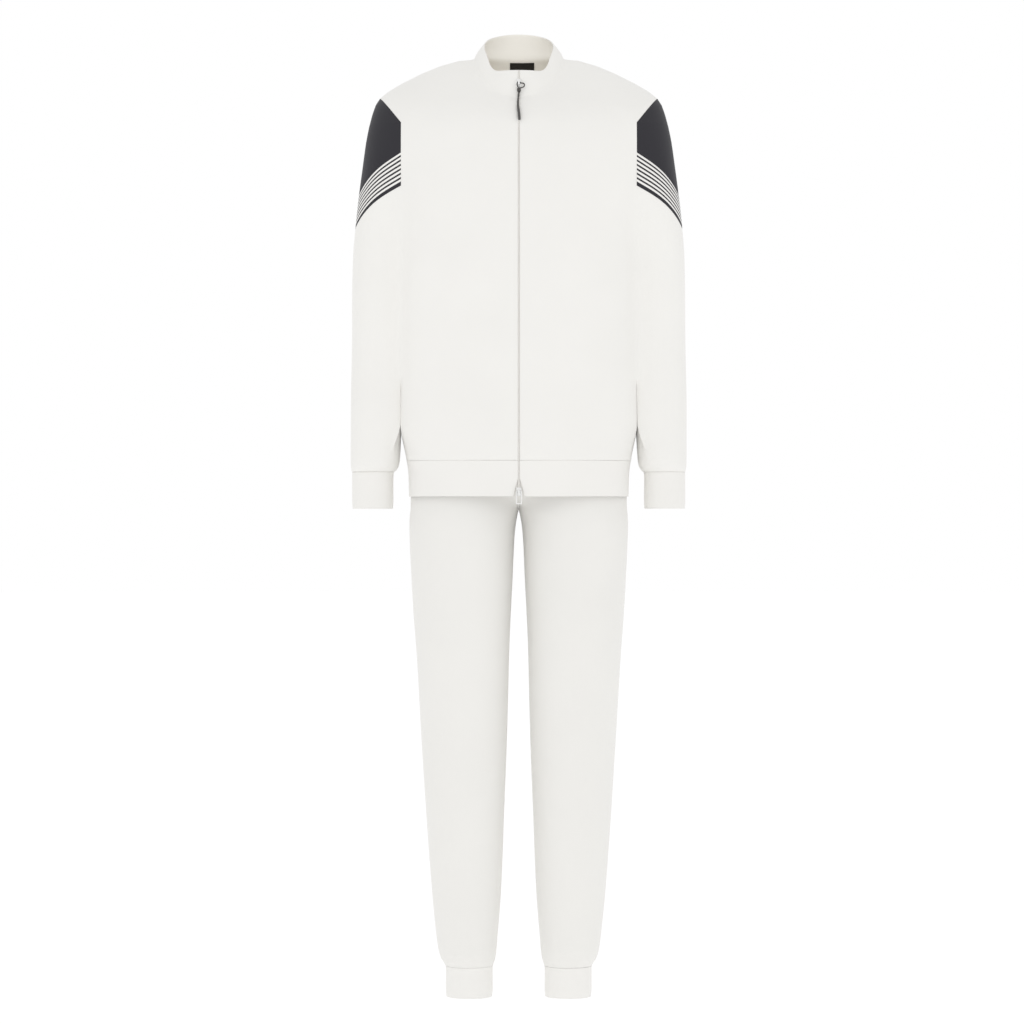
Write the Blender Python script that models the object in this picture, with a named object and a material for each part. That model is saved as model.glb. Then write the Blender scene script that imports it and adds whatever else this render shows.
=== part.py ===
# A tracksuit filled out as it is worn: a zip jacket over jogger trousers.
# Metres, +Z up, front towards -Y, the wearer's left side at +X, z = 0 at the neck seam.
import math
from collections import namedtuple

import bmesh
import bpy
from mathutils import Vector

# Cloth wall and seams
WALL = 0.002
SEAM_GAP = 0.0003
LAY_GAP = 0.0004
MERGE_REACH = 0.00002
MITRE_LIMIT = 1.6

# Columns and rows of the cut pieces
PANEL_COLUMNS = 6
HEAD_COLUMNS = 6
SHOULDER_ROWS = 5
HEAD_ROWS = 2
COLLAR_ROWS = 3
LEG_COLUMNS = 7
CURVE_STEPS = 40

# Jacket heights
LEVEL_Z = -0.107
BLACK_END_Z = -0.154
BAND_END_Z = -0.204
UNDERARM_Z = -0.320
HEM_END_Z = -0.681

# Jacket sizes
ARMHOLE_X = 0.181
STRIPE_DROP = 0.062
FALL_STRAIGHT = 0.6
FALL_POWER = 4.0
OVAL_POWER = 3.0
SLEEVE_POWER = 2.5
EDGE_X = 0.0013
FLARE_X = 0.0085
FLARE_TOP_Z = -0.655
FLARE_POWER = 0.8
SHOULDER_BULGE = 0.10
FRONT_BULGE_SHARE = 0.3
CLOSING_POWER = 0.6
SEAM_STEPS = 24

# Neck seam and collar
NECK_SIDE = 0.070
NECK_FRONT = 0.082
NECK_BACK = 0.068
NECK_SIDE_Z = 0.001
NECK_FRONT_DROP = 0.069
NECK_FRONT_POWER = 1.1
NECK_BACK_RISE = 0.008
COLLAR_SIDE = 0.054
COLLAR_MID_Y = -0.004
COLLAR_DEPTH = 0.070
COLLAR_BULGE = 0.0025

# Zip
CHAIN_HALF = 0.0009
CHAIN_SINK = 0.0002
CHAIN_THICK = 0.0016
TAPE_INNER_X = 0.0004
TAPE_COLLAR_X = 0.0085
TAPE_BODY_X = 0.015
TAPE_THICK = 0.001
TOP_SLIDER_Z = -0.0465
BOTTOM_SLIDER_Z = -0.674
HOLE_OUT = 0.0037

# Trousers
CROTCH_TOP_Z = -0.590
CROTCH_Z = -0.701
HIP_POWER = 3.0
LEG_POWER = 2.2

# Neck label
LABEL_HALF = 0.0195
LABEL_MID_X = 0.0055
LABEL_ROW_FROM = 0.035
LABEL_ROW_TO = 0.22
LABEL_THICK = 0.001
LABEL_TURN = 0.5
LABEL_TIP = 0.3

Torso = namedtuple("Torso", "z side front back")
TORSO = [
    Torso(-0.107, 0.1810, 0.108, 0.112),
    Torso(-0.150, 0.1810, 0.115, 0.119),
    Torso(-0.205, 0.1810, 0.120, 0.122),
    Torso(-0.265, 0.1810, 0.1215, 0.122),
    Torso(-0.330, 0.1810, 0.120, 0.118),
    Torso(-0.420, 0.1812, 0.117, 0.112),
    Torso(-0.500, 0.1815, 0.115, 0.112),
    Torso(-0.560, 0.1815, 0.115, 0.115),
    Torso(-0.600, 0.1783, 0.1145, 0.118),
    Torso(-0.626, 0.1745, 0.113, 0.119),
    Torso(-0.634, 0.1730, 0.112, 0.119),
    Torso(-0.650, 0.1716, 0.1115, 0.119),
    Torso(-0.681, 0.1710, 0.1115, 0.119),
]

Outline = namedtuple("Outline", "z half")
CAPE_OUTLINE = [
    Outline(-0.107, 0.2330),
    Outline(-0.132, 0.2380),
    Outline(-0.180, 0.2445),
    Outline(-0.226, 0.2504),
    Outline(-0.265, 0.2545),
    Outline(-0.320, 0.2583),
]

Sleeve = namedtuple("Sleeve", "z inner outer half_depth mid_y")
SLEEVE = [
    Sleeve(-0.107, 0.1810, 0.2330, 0.080, 0.0),
    Sleeve(-0.180, 0.1810, 0.2445, 0.077, 0.0),
    Sleeve(-0.226, 0.1810, 0.2504, 0.073, 0.0),
    Sleeve(-0.265, 0.1810, 0.2545, 0.070, 0.0),
    Sleeve(-0.295, 0.1810, 0.2572, 0.0675, 0.0),
    Sleeve(-0.320, 0.1812, 0.2583, 0.0655, 0.0),
    Sleeve(-0.362, 0.1818, 0.2593, 0.0625, -0.002),
    Sleeve(-0.437, 0.1820, 0.2596, 0.057, -0.006),
    Sleeve(-0.520, 0.1822, 0.2610, 0.051, -0.010),
    Sleeve(-0.590, 0.1836, 0.2612, 0.047, -0.012),
    Sleeve(-0.622, 0.1848, 0.2612, 0.0445, -0.013),
    Sleeve(-0.634, 0.1870, 0.2608, 0.0415, -0.013),
    Sleeve(-0.640, 0.1905, 0.2600, 0.037, -0.013),
    Sleeve(-0.643, 0.1938, 0.2592, 0.0335, -0.013),
    Sleeve(-0.650, 0.1950, 0.2590, 0.0325, -0.013),
    Sleeve(-0.690, 0.1950, 0.2590, 0.0320, -0.013),
    Sleeve(-0.700, 0.1956, 0.2584, 0.0315, -0.013),
]

# Rows of the sleeve: height at the armhole or underarm, and share of the stripe drop
SleeveRow = namedtuple("SleeveRow", "z drop")
BLACK_ROWS = 3
BAND_ROWS = 2
SLEEVE_ROWS = [
    SleeveRow(-0.204, 1.00),
    SleeveRow(-0.226, 0.94),
    SleeveRow(-0.252, 0.84),
    SleeveRow(-0.280, 0.70),
    SleeveRow(-0.303, 0.58),
    SleeveRow(-0.320, 0.48),
    SleeveRow(-0.362, 0.24),
    SleeveRow(-0.425, 0.04),
    SleeveRow(-0.500, 0.0),
    SleeveRow(-0.560, 0.0),
    SleeveRow(-0.600, 0.0),
    SleeveRow(-0.622, 0.0),
    SleeveRow(-0.634, 0.0),
    SleeveRow(-0.640, 0.0),
    SleeveRow(-0.643, 0.0),
]
CUFF_HEIGHTS = [-0.643, -0.650, -0.690, -0.700]
BODY_HEIGHTS = [-0.362, -0.425, -0.500, -0.560, -0.600, -0.626]
HEM_HEIGHTS = [-0.626, -0.634, -0.655, -0.681]

# Top line of the shoulder from the neck to the outer end of the level row
Ridge = namedtuple("Ridge", "x z")
RIDGE = [
    Ridge(0.0700, 0.0010),
    Ridge(0.0920, -0.0010),
    Ridge(0.1220, -0.0095),
    Ridge(0.1500, -0.0210),
    Ridge(0.1830, -0.0375),
    Ridge(0.2040, -0.0500),
    Ridge(0.2165, -0.0605),
    Ridge(0.2230, -0.0710),
    Ridge(0.2280, -0.0860),
    Ridge(0.2330, -0.1070),
]
APEX_ROW = 6

# Top line of the collar by how far back it lies, from 1 at centre back to -1 at centre front
Rim = namedtuple("Rim", "lean z")
COLLAR_RIM = [
    Rim(1.0, 0.0490),
    Rim(0.42, 0.0345),
    Rim(0.0, 0.0215),
    Rim(-0.30, 0.0080),
    Rim(-0.45, -0.0020),
    Rim(-0.60, -0.0155),
    Rim(-0.757, -0.0235),
    Rim(-1.0, -0.0250),
]

Hips = namedtuple("Hips", "z side front back")
HIPS = [
    Hips(-0.430, 0.148, 0.098, 0.098),
    Hips(-0.470, 0.152, 0.100, 0.103),
    Hips(-0.560, 0.1615, 0.101, 0.106),
    Hips(-0.626, 0.1674, 0.1045, 0.1107),
    Hips(-0.681, 0.1684, 0.1045, 0.1107),
    Hips(-0.701, 0.1693, 0.103, 0.1095),
]

Leg = namedtuple("Leg", "z inner outer half_depth mid_y")
LEG = [
    Leg(-0.560, 0.0000, 0.1615, 0.0960, 0.0030),
    Leg(-0.681, 0.0000, 0.1684, 0.0955, 0.0040),
    Leg(-0.701, 0.0000, 0.1690, 0.0960, 0.0040),
    Leg(-0.715, 0.0030, 0.1705, 0.0965, 0.0040),
    Leg(-0.741, 0.0062, 0.1702, 0.0960, 0.0035),
    Leg(-0.803, 0.0094, 0.1672, 0.0910, 0.0015),
    Leg(-0.866, 0.0125, 0.1638, 0.0860, -0.001),
    Leg(-0.928, 0.0148, 0.1592, 0.0810, -0.002),
    Leg(-1.053, 0.0180, 0.1520, 0.0740, 0.000),
    Leg(-1.178, 0.0226, 0.1443, 0.0680, 0.005),
    Leg(-1.303, 0.0280, 0.1350, 0.0590, 0.008),
    Leg(-1.365, 0.0328, 0.1287, 0.0530, 0.009),
    Leg(-1.388, 0.0345, 0.1253, 0.0505, 0.009),
    Leg(-1.401, 0.0362, 0.1215, 0.0460, 0.009),
    Leg(-1.408, 0.0382, 0.1170, 0.0415, 0.009),
    Leg(-1.413, 0.0398, 0.1146, 0.0385, 0.009),
    Leg(-1.420, 0.0406, 0.1139, 0.0372, 0.009),
    Leg(-1.450, 0.0406, 0.1139, 0.0368, 0.009),
    Leg(-1.461, 0.0414, 0.1131, 0.0360, 0.009),
]
WAIST_HEIGHTS = [-0.430, -0.470]
LEG_HEIGHTS = [-0.470, -0.530, -0.590, -0.630, -0.662, -0.684, -0.696, -0.701, -0.715, -0.741,
               -0.790, -0.866, -0.940, -1.020, -1.100, -1.178, -1.250, -1.310, -1.355, -1.388,
               -1.401, -1.408, -1.413]
ANKLE_HEIGHTS = [-1.413, -1.420, -1.450, -1.461]

# Slider outline: outer loop and the hole under its bridge, along the zip and out from the cloth
SliderPoint = namedtuple("SliderPoint", "along out half hole_along hole_out hole_half")
SLIDER = [
    SliderPoint(-0.0065, 0.0004, 0.0034, -0.0016, 0.0023, 0.0030),
    SliderPoint(0.0065, 0.0004, 0.0042, 0.0016, 0.0023, 0.0034),
    SliderPoint(0.0065, 0.0020, 0.0040, 0.0022, 0.0029, 0.0024),
    SliderPoint(0.0042, 0.0029, 0.0019, 0.0023, 0.0038, 0.0016),
    SliderPoint(0.0026, 0.0063, 0.0015, 0.0016, 0.0051, 0.0015),
    SliderPoint(-0.0026, 0.0063, 0.0015, -0.0016, 0.0051, 0.0015),
    SliderPoint(-0.0042, 0.0029, 0.0019, -0.0023, 0.0038, 0.0016),
    SliderPoint(-0.0065, 0.0020, 0.0032, -0.0022, 0.0029, 0.0024),
]

# Bottom pull tab: a small frame on the slider's bridge
TAB_HALF = 0.0046
TAB_LENGTH = 0.0190
TAB_BAR = 0.0015
TAB_THICK = 0.0012
TAB_CORNER = 0.0010

# Cord of the top pull
CORD_RADIUS = 0.0009
CordPoint = namedtuple("CordPoint", "x along out")
CORD_HALF_ROUTE = [
    CordPoint(0.0, 0.0, 0.0037),
    CordPoint(0.0026, 0.0, 0.0037),
    CordPoint(0.0041, -0.0007, 0.0038),
    CordPoint(0.0046, -0.0024, 0.0040),
    CordPoint(0.0040, -0.0048, 0.0042),
    CordPoint(0.0025, -0.0070, 0.0044),
    CordPoint(0.0015, -0.0088, 0.0045),
]
TailRing = namedtuple("TailRing", "along radius")
TAIL = [
    TailRing(0.0000, 0.0020),
    TailRing(0.0014, 0.0036),
    TailRing(0.0040, 0.0041),
    TailRing(0.0068, 0.0038),
    TailRing(0.0090, 0.0025),
    TailRing(0.0130, 0.0020),
    TailRing(0.0240, 0.0020),
    TailRing(0.0350, 0.0022),
    TailRing(0.0460, 0.0025),
    TailRing(0.0530, 0.0025),
    TailRing(0.0545, 0.0017),
]
TAIL_SIDES = 10

COLOURS = {
    "cloth_white": (0.86, 0.86, 0.84, 1.0),
    "cloth_trousers": (0.84, 0.83, 0.81, 1.0),
    "cloth_black": (0.033, 0.032, 0.038, 1.0),
    "rib_white": (0.84, 0.83, 0.80, 1.0),
    "zip_grey": (0.62, 0.60, 0.57, 1.0),
    "slider_white": (0.80, 0.80, 0.79, 1.0),
    "cord_grey": (0.10, 0.095, 0.09, 1.0),
    "label_black": (0.012, 0.010, 0.008, 1.0),
}


# Small helpers
def mix(a, b, share):
    return a + (b - a) * share


def slope(a, b, column):
    return (b[column] - a[column]) / (b[0] - a[0])


def read_table(table, key):
    if key >= table[0][0]:
        return table[0]
    if key <= table[-1][0]:
        return table[-1]
    low = next(i for i in range(1, len(table)) if table[i][0] <= key)
    a = table[low - 1]
    b = table[low]
    before = table[max(low - 2, 0)]
    after = table[min(low + 1, len(table) - 1)]
    span = b[0] - a[0]
    t = (key - a[0]) / span
    values = []
    for column in range(len(a)):
        start = a[column] * (2 * t ** 3 - 3 * t ** 2 + 1)
        end = b[column] * (3 * t ** 2 - 2 * t ** 3)
        lead_in = slope(before, b, column) * span * (t ** 3 - 2 * t ** 2 + t)
        lead_out = slope(a, after, column) * span * (t ** 3 - t ** 2)
        values.append(start + end + lead_in + lead_out)
    return type(a)(*values)


def power_step(value, power):
    return math.copysign(abs(value) ** (2.0 / power), value)


def arc(mid_x, mid_y, radius_x, radius_y, power, start, end):
    points = []
    for i in range(CURVE_STEPS + 1):
        angle = mix(start, end, i / CURVE_STEPS)
        x = mid_x + radius_x * power_step(math.cos(angle), power)
        y = mid_y + radius_y * power_step(math.sin(angle), power)
        points.append(Vector((x, y)))
    return points


def even(points, count, lead=0.0):
    lengths = [0.0]
    for a, b in zip(points, points[1:]):
        lengths.append(lengths[-1] + (b - a).length)
    result = []
    k = 1
    for i in range(count + 1):
        target = lead + (lengths[-1] - lead) * i / count
        while k < len(points) - 1 and lengths[k] < target:
            k += 1
        step = lengths[k] - lengths[k - 1]
        share = (target - lengths[k - 1]) / step if step > 0.0 else 0.0
        result.append(points[k - 1].lerp(points[k], min(max(share, 0.0), 1.0)))
    return result


def closing_shares(z, top, end, count):
    # Round at the seam, where a curve closes on itself, and gentle away from it
    t = min(max((z - top) / (end - top), 0.0), 1.0)
    seam = 1.0 - math.sqrt(1.0 - t * t)
    gentle = t * t * (3.0 - 2.0 * t)
    return [mix(seam, gentle, (i / count) ** CLOSING_POWER) for i in range(count + 1)]


def blend(first, second, shares):
    return [a.lerp(b, share) for a, b, share in zip(first, second, shares)]


# Torso and sleeve rows, all in the +X half
def front_edge(z):
    if z >= FLARE_TOP_Z:
        return EDGE_X
    return mix(EDGE_X, FLARE_X, ((z - FLARE_TOP_Z) / (HEM_END_Z - FLARE_TOP_Z)) ** FLARE_POWER)


def valley_angle(outer):
    return math.acos((ARMHOLE_X / outer) ** (OVAL_POWER / 2.0))


def torso_row(z, front):
    size = read_table(TORSO, z)
    depth = -size.front if front else size.back
    lead = front_edge(z) if front else 0.0
    closed = even(arc(0, 0, size.side, depth, OVAL_POWER, math.pi / 2, 0.0), PANEL_COLUMNS, lead)
    if z > UNDERARM_Z:
        shares = closing_shares(z, LEVEL_Z, UNDERARM_Z, PANEL_COLUMNS)[::-1]
        outer = read_table(CAPE_OUTLINE, z).half
        open_arc = arc(0, 0, outer, depth, OVAL_POWER, math.pi / 2, valley_angle(outer))
        closed = blend(even(open_arc, PANEL_COLUMNS, lead), closed, shares)
    return [Vector((p.x, p.y, z)) for p in closed]


def sleeve_ring(z):
    size = read_table(SLEEVE, z)
    inner = ARMHOLE_X if z >= UNDERARM_Z else size.inner
    shares = closing_shares(z, LEVEL_Z, UNDERARM_Z, HEAD_COLUMNS)
    radius = (size.outer - inner) / 2
    mid = (size.outer + inner) / 2
    halves = []
    for sign in (-1, 1):
        depth = sign * size.half_depth
        ring = arc(mid, size.mid_y, radius, depth, SLEEVE_POWER, math.pi, 0.0)
        half = even(ring, HEAD_COLUMNS)
        if z > UNDERARM_Z:
            body = read_table(TORSO, z)
            outer = read_table(CAPE_OUTLINE, z).half
            reach = -body.front if sign < 0 else body.back
            cape = arc(0, 0, outer, reach, OVAL_POWER, valley_angle(outer), 0.0)
            half = blend(even(cape, HEAD_COLUMNS), half, shares)
        halves.append([Vector((p.x, p.y, z)) for p in half])
    return halves[0] + halves[1][-2::-1]


def sleeve_row(z, drop):
    # The stripes fall away from the armhole, straight at first and steeper towards the outer line
    row = []
    for i in range(2 * HEAD_COLUMNS + 1):
        ring = sleeve_ring(z - STRIPE_DROP * drop * (1.0 - abs(i / HEAD_COLUMNS - 1.0)))
        across = (ring[i].x - ring[0].x) / (ring[HEAD_COLUMNS].x - ring[0].x)
        fall = STRIPE_DROP * drop * mix(across ** FALL_POWER, across, FALL_STRAIGHT)
        row.append(sleeve_ring(z - fall)[i])
    return row


# Shoulder between the neck seam and the level row
def neck_point(turn):
    angle = turn * math.pi / 2
    x = NECK_SIDE * math.sin(angle)
    lean = math.cos(angle)
    if turn <= 1.0:
        return Vector((x, -NECK_FRONT * lean, NECK_SIDE_Z - NECK_FRONT_DROP * abs(lean) ** NECK_FRONT_POWER))
    return Vector((x, -NECK_BACK * lean, NECK_SIDE_Z - NECK_BACK_RISE * lean))


def neck_turns(front):
    count = PANEL_COLUMNS + HEAD_COLUMNS
    first = math.asin(EDGE_X / NECK_SIDE) / (math.pi / 2) if front else 0.0
    turns = [mix(first, 1.0, i / count) for i in range(count + 1)]
    return turns if front else [2.0 - turn for turn in turns]


def ridge_shares(k):
    points = [Vector((p.x, p.z)) for p in RIDGE]
    lengths = [0.0]
    for a, b in zip(points, points[1:]):
        lengths.append(lengths[-1] + (b - a).length)
    target = k * lengths[-1]
    i = next((i for i in range(1, len(points)) if lengths[i] >= target), len(points) - 1)
    share = (target - lengths[i - 1]) / (lengths[i] - lengths[i - 1])
    place = points[i - 1].lerp(points[i], share)
    across = (place.x - points[0].x) / (points[-1].x - points[0].x)
    down = (place.y - points[0].y) / (points[-1].y - points[0].y)
    return across, down


def level_row(front):
    half = sleeve_ring(LEVEL_Z)
    head = half[1:HEAD_COLUMNS + 1] if front else half[-2:HEAD_COLUMNS - 1:-1]
    return torso_row(LEVEL_Z, front) + head


def shoulder_point(column, k, front, top, low):
    sideways = math.sin(math.pi / 2 * column / (PANEL_COLUMNS + HEAD_COLUMNS)) ** 2
    across, down = ridge_shares(k)
    plain = k + SHOULDER_BULGE * math.sin(math.pi * k) * (FRONT_BULGE_SHARE if front else 1.0)
    out = mix(plain, across, sideways)
    fall = mix(k, down, sideways)
    return Vector((mix(top.x, low.x, out), mix(top.y, low.y, out), mix(top.z, low.z, fall)))


def seam_shares(front, tops, lows):
    # The black panel's upper seam runs straight, seen from the front, from the armhole to the apex
    apex = RIDGE[APEX_ROW]
    shares = [1.0] * (PANEL_COLUMNS + 1)
    for column in range(PANEL_COLUMNS + 1, len(tops)):
        near = 0.0
        far = 1.0
        for step in range(SEAM_STEPS):
            k = (near + far) / 2
            p = shoulder_point(column, k, front, tops[column], lows[column])
            past = (p.x - ARMHOLE_X) * (apex.z - LEVEL_Z) - (p.z - LEVEL_Z) * (apex.x - ARMHOLE_X)
            near, far = (near, k) if past > 0.0 else (k, far)
        shares.append((near + far) / 2)
    return shares


def shoulder_lines(front):
    tops = [neck_point(turn) for turn in neck_turns(front)]
    lows = level_row(front)
    return tops, lows, seam_shares(front, tops, lows)


def shoulder_grid(front):
    tops, lows, ends = shoulder_lines(front)
    rows = []
    for r in range(SHOULDER_ROWS + 1):
        row = []
        for c, (top, low) in enumerate(zip(tops, lows)):
            row.append(shoulder_point(c, ends[c] * r / SHOULDER_ROWS, front, top, low))
        rows.append(row)
    return rows


def head_grid():
    rows = []
    for r in range(HEAD_ROWS + 1):
        sides = []
        for front in (True, False):
            tops, lows, ends = shoulder_lines(front)
            row = []
            for c in range(PANEL_COLUMNS, PANEL_COLUMNS + HEAD_COLUMNS + 1):
                row.append(shoulder_point(c, mix(ends[c], 1.0, r / HEAD_ROWS), front, tops[c], lows[c]))
            sides.append(row)
        rows.append(sides[0] + sides[1][-2::-1])
    return rows


def collar_top(turn):
    angle = turn * math.pi / 2
    lean = -math.cos(angle)
    return Vector((COLLAR_SIDE * math.sin(angle), COLLAR_MID_Y + COLLAR_DEPTH * lean,
                   read_table(COLLAR_RIM, lean).z))


def collar_grid(front):
    rows = []
    for r in range(COLLAR_ROWS + 1):
        share = r / COLLAR_ROWS
        row = []
        for turn in neck_turns(front):
            low = neck_point(turn)
            high = collar_top(turn)
            high.x = max(high.x, EDGE_X) if front else high.x
            outward = Vector((low.x, low.y, 0.0)).normalized()
            row.append(low.lerp(high, share) + outward * COLLAR_BULGE * math.sin(math.pi * share))
        rows.append(row)
    return rows


# Trouser rows, all in the +X half, from centre front or inseam round to centre back
def leg_row(z):
    size = read_table(LEG, z)
    shares = closing_shares(z, CROTCH_TOP_Z, CROTCH_Z, LEG_COLUMNS)
    inner = 0.0 if z >= CROTCH_Z else size.inner
    mid = (size.outer + inner) / 2
    radius = (size.outer - inner) / 2
    halves = []
    for sign in (-1, 1):
        ring = arc(mid, size.mid_y, radius, sign * size.half_depth, LEG_POWER, math.pi, 0.0)
        half = even(ring, LEG_COLUMNS)
        if z > CROTCH_Z:
            hips = read_table(HIPS, z)
            reach = -hips.front if sign < 0 else hips.back
            around = arc(0, 0, hips.side, reach, HIP_POWER, math.pi / 2, 0.0)
            half = blend(even(around, LEG_COLUMNS), half, shares)
        halves.append([Vector((p.x, p.y, z)) for p in half])
    halves[0][-1] = (halves[0][-1] + halves[1][-1]) / 2
    return halves[0] + halves[1][-2::-1]


# Shells: all pieces of one garment share their seam points, then part by the seam gap
def add_grid(shell, piece, rows, side):
    layer = shell.faces.layers.int["piece"]
    verts = [[shell.verts.new((p.x * side, p.y, p.z)) for p in row] for row in rows]
    for upper, lower in zip(verts, verts[1:]):
        for i in range(len(upper) - 1):
            face = shell.faces.new((upper[i], upper[i + 1], lower[i + 1], lower[i]))
            face[layer] = piece


def start_shell():
    shell = bmesh.new()
    shell.faces.layers.int.new("piece")
    return shell


def finish_shell(shell):
    bmesh.ops.remove_doubles(shell, verts=shell.verts, dist=MERGE_REACH)
    bmesh.ops.recalc_face_normals(shell, faces=shell.faces)
    shell.normal_update()
    foremost = min(shell.faces, key=lambda face: face.calc_center_median().y)
    if foremost.normal.y > 0.0:
        bmesh.ops.reverse_faces(shell, faces=shell.faces)
    shell.normal_update()


def inward_step(vert):
    normal = vert.normal.copy()
    facing = sum(face.normal.dot(normal) for face in vert.link_faces) / len(vert.link_faces)
    return normal * -WALL * min(1.0 / max(facing, 0.05), MITRE_LIMIT)


def seam_shift(vert, faces):
    directions = []
    for edge in vert.link_edges:
        own = [face for face in edge.link_faces if face in faces]
        if len(own) != 1:
            continue
        along = (edge.verts[1].co - edge.verts[0].co).normalized()
        inward = own[0].calc_center_median() - edge.verts[0].co
        inward -= along * inward.dot(along)
        inward -= vert.normal * inward.dot(vert.normal)
        directions.append(inward.normalized())
    if not directions:
        return Vector()
    total = sum(directions, Vector())
    if len(directions) == 2:
        total /= max(1.0 + directions[0].dot(directions[1]), 0.5)
    shift = total * SEAM_GAP / 2
    middles = [face.calc_center_median() for face in vert.link_faces if face in faces]
    for axis in (0, 1):
        on_plane = abs(vert.co[axis]) < MERGE_REACH
        if on_plane and all(middle[axis] > 0.0 for middle in middles):
            shift[axis] = max(shift[axis], SEAM_GAP / 2)
        if on_plane and all(middle[axis] < 0.0 for middle in middles):
            shift[axis] = min(shift[axis], -SEAM_GAP / 2)
    return shift


def split(face):
    # Triangles of a face, cut along its shorter diagonal, so both sides of a wall fold alike
    corners = list(face.verts)
    if len(corners) == 3:
        return [corners]
    a, b, c, d = corners
    if (a.co - c.co).length <= (b.co - d.co).length:
        return [[a, b, c], [a, c, d]]
    return [[a, b, d], [b, c, d]]


def cut_piece(shell, piece, name, colour):
    layer = shell.faces.layers.int["piece"]
    faces = {face for face in shell.faces if face[layer] == piece}
    verts = sorted({vert for face in faces for vert in face.verts}, key=lambda vert: vert.index)
    built = bmesh.new()
    outer = {}
    inner = {}
    for vert in verts:
        shift = seam_shift(vert, faces)
        outer[vert] = built.verts.new(vert.co + shift)
        inner[vert] = built.verts.new(vert.co + shift + inward_step(vert))
    for face in sorted(faces, key=lambda face: face.index):
        for corners in split(face):
            built.faces.new([outer[vert] for vert in corners])
            built.faces.new([inner[vert] for vert in reversed(corners)])
        for loop in face.loops:
            own = [other for other in loop.edge.link_faces if other in faces]
            if len(own) == 1:
                a = loop.vert
                b = loop.link_loop_next.vert
                low = min(a, b, key=lambda vert: vert.index)
                high = b if low is a else a
                built.faces.new((outer[b], outer[a], inner[high]))
                built.faces.new((inner[a], inner[b], outer[low]))
    return to_object(name, built, colour)


def to_object(name, mesh, colour, smooth=True):
    bmesh.ops.recalc_face_normals(mesh, faces=mesh.faces)
    data = bpy.data.meshes.new(name)
    mesh.to_mesh(data)
    mesh.free()
    for face in data.polygons:
        face.use_smooth = smooth
    thing = bpy.data.objects.new(name, data)
    bpy.context.scene.collection.objects.link(thing)
    dress(thing, colour)
    return thing


def dress(thing, colour):
    paint = bpy.data.materials.new(thing.name + "_" + colour)
    paint.use_nodes = True
    shader = paint.node_tree.nodes["Principled BSDF"]
    shader.inputs["Base Color"].default_value = COLOURS[colour]
    shader.inputs["Roughness"].default_value = 0.35 if colour == "slider_white" else 0.85
    thing.data.materials.append(paint)


def pieces_of(shell, names):
    shell.verts.index_update()
    shell.faces.index_update()
    for piece, (name, colour) in enumerate(names):
        cut_piece(shell, piece, name, colour)
    shell.free()


# Jacket
def armhole_heights():
    black = [mix(LEVEL_Z, BLACK_END_Z, i / BLACK_ROWS) for i in range(BLACK_ROWS + 1)]
    band = [mix(BLACK_END_Z, BAND_END_Z, i / BAND_ROWS) for i in range(1, BAND_ROWS + 1)]
    white = [row.z for row in SLEEVE_ROWS if BAND_END_Z > row.z >= UNDERARM_Z]
    return black, band, white


def build_jacket():
    names = [
        ("jacket_front_left", "cloth_white"), ("jacket_front_right", "cloth_white"),
        ("jacket_back", "cloth_white"), ("collar", "cloth_white"), ("hem_band", "rib_white"),
        ("shoulder_panel_left", "cloth_black"), ("shoulder_panel_right", "cloth_black"),
        ("stripe_band_left", "cloth_white"), ("stripe_band_right", "cloth_white"),
        ("sleeve_left", "cloth_white"), ("sleeve_right", "cloth_white"),
        ("wrist_cuff_left", "rib_white"), ("wrist_cuff_right", "rib_white"),
    ]
    number = {name: i for i, (name, colour) in enumerate(names)}
    shell = start_shell()
    black, band, white = armhole_heights()
    heights = black + band + white + BODY_HEIGHTS
    for side, word in ((1, "left"), (-1, "right")):
        for front in (True, False):
            panel = number["jacket_front_" + word] if front else number["jacket_back"]
            add_grid(shell, panel, shoulder_grid(front), side)
            add_grid(shell, panel, [torso_row(z, front) for z in heights], side)
            add_grid(shell, number["hem_band"], [torso_row(z, front) for z in HEM_HEIGHTS], side)
            add_grid(shell, number["collar"], collar_grid(front), side)
        head = number["shoulder_panel_" + word]
        add_grid(shell, head, head_grid(), side)
        drops = [sleeve_row(z, i / BLACK_ROWS) for i, z in enumerate(black)]
        add_grid(shell, head, drops, side)
        stripe = [sleeve_row(z, 1.0) for z in black[-1:] + band]
        add_grid(shell, number["stripe_band_" + word], stripe, side)
        arm = [sleeve_row(row.z, row.drop) for row in SLEEVE_ROWS]
        add_grid(shell, number["sleeve_" + word], arm, side)
        cuff = [sleeve_row(z, 0.0) for z in CUFF_HEIGHTS]
        add_grid(shell, number["wrist_cuff_" + word], cuff, side)
    finish_shell(shell)
    pieces_of(shell, names)


# Trousers
def build_trousers():
    names = [
        ("waistband", "rib_white"),
        ("leg_front_left", "cloth_trousers"), ("leg_front_right", "cloth_trousers"),
        ("leg_back_left", "cloth_trousers"), ("leg_back_right", "cloth_trousers"),
        ("ankle_cuff_left", "rib_white"), ("ankle_cuff_right", "rib_white"),
    ]
    number = {name: i for i, (name, colour) in enumerate(names)}
    shell = start_shell()
    for side, word in ((1, "left"), (-1, "right")):
        add_grid(shell, number["waistband"], [leg_row(z) for z in WAIST_HEIGHTS], side)
        rows = [leg_row(z) for z in LEG_HEIGHTS]
        fronts = [row[:LEG_COLUMNS + 1] for row in rows]
        backs = [row[LEG_COLUMNS:] for row in rows]
        add_grid(shell, number["leg_front_" + word], fronts, side)
        add_grid(shell, number["leg_back_" + word], backs, side)
        add_grid(shell, number["ankle_cuff_" + word], [leg_row(z) for z in ANKLE_HEIGHTS], side)
    finish_shell(shell)
    pieces_of(shell, names)


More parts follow.
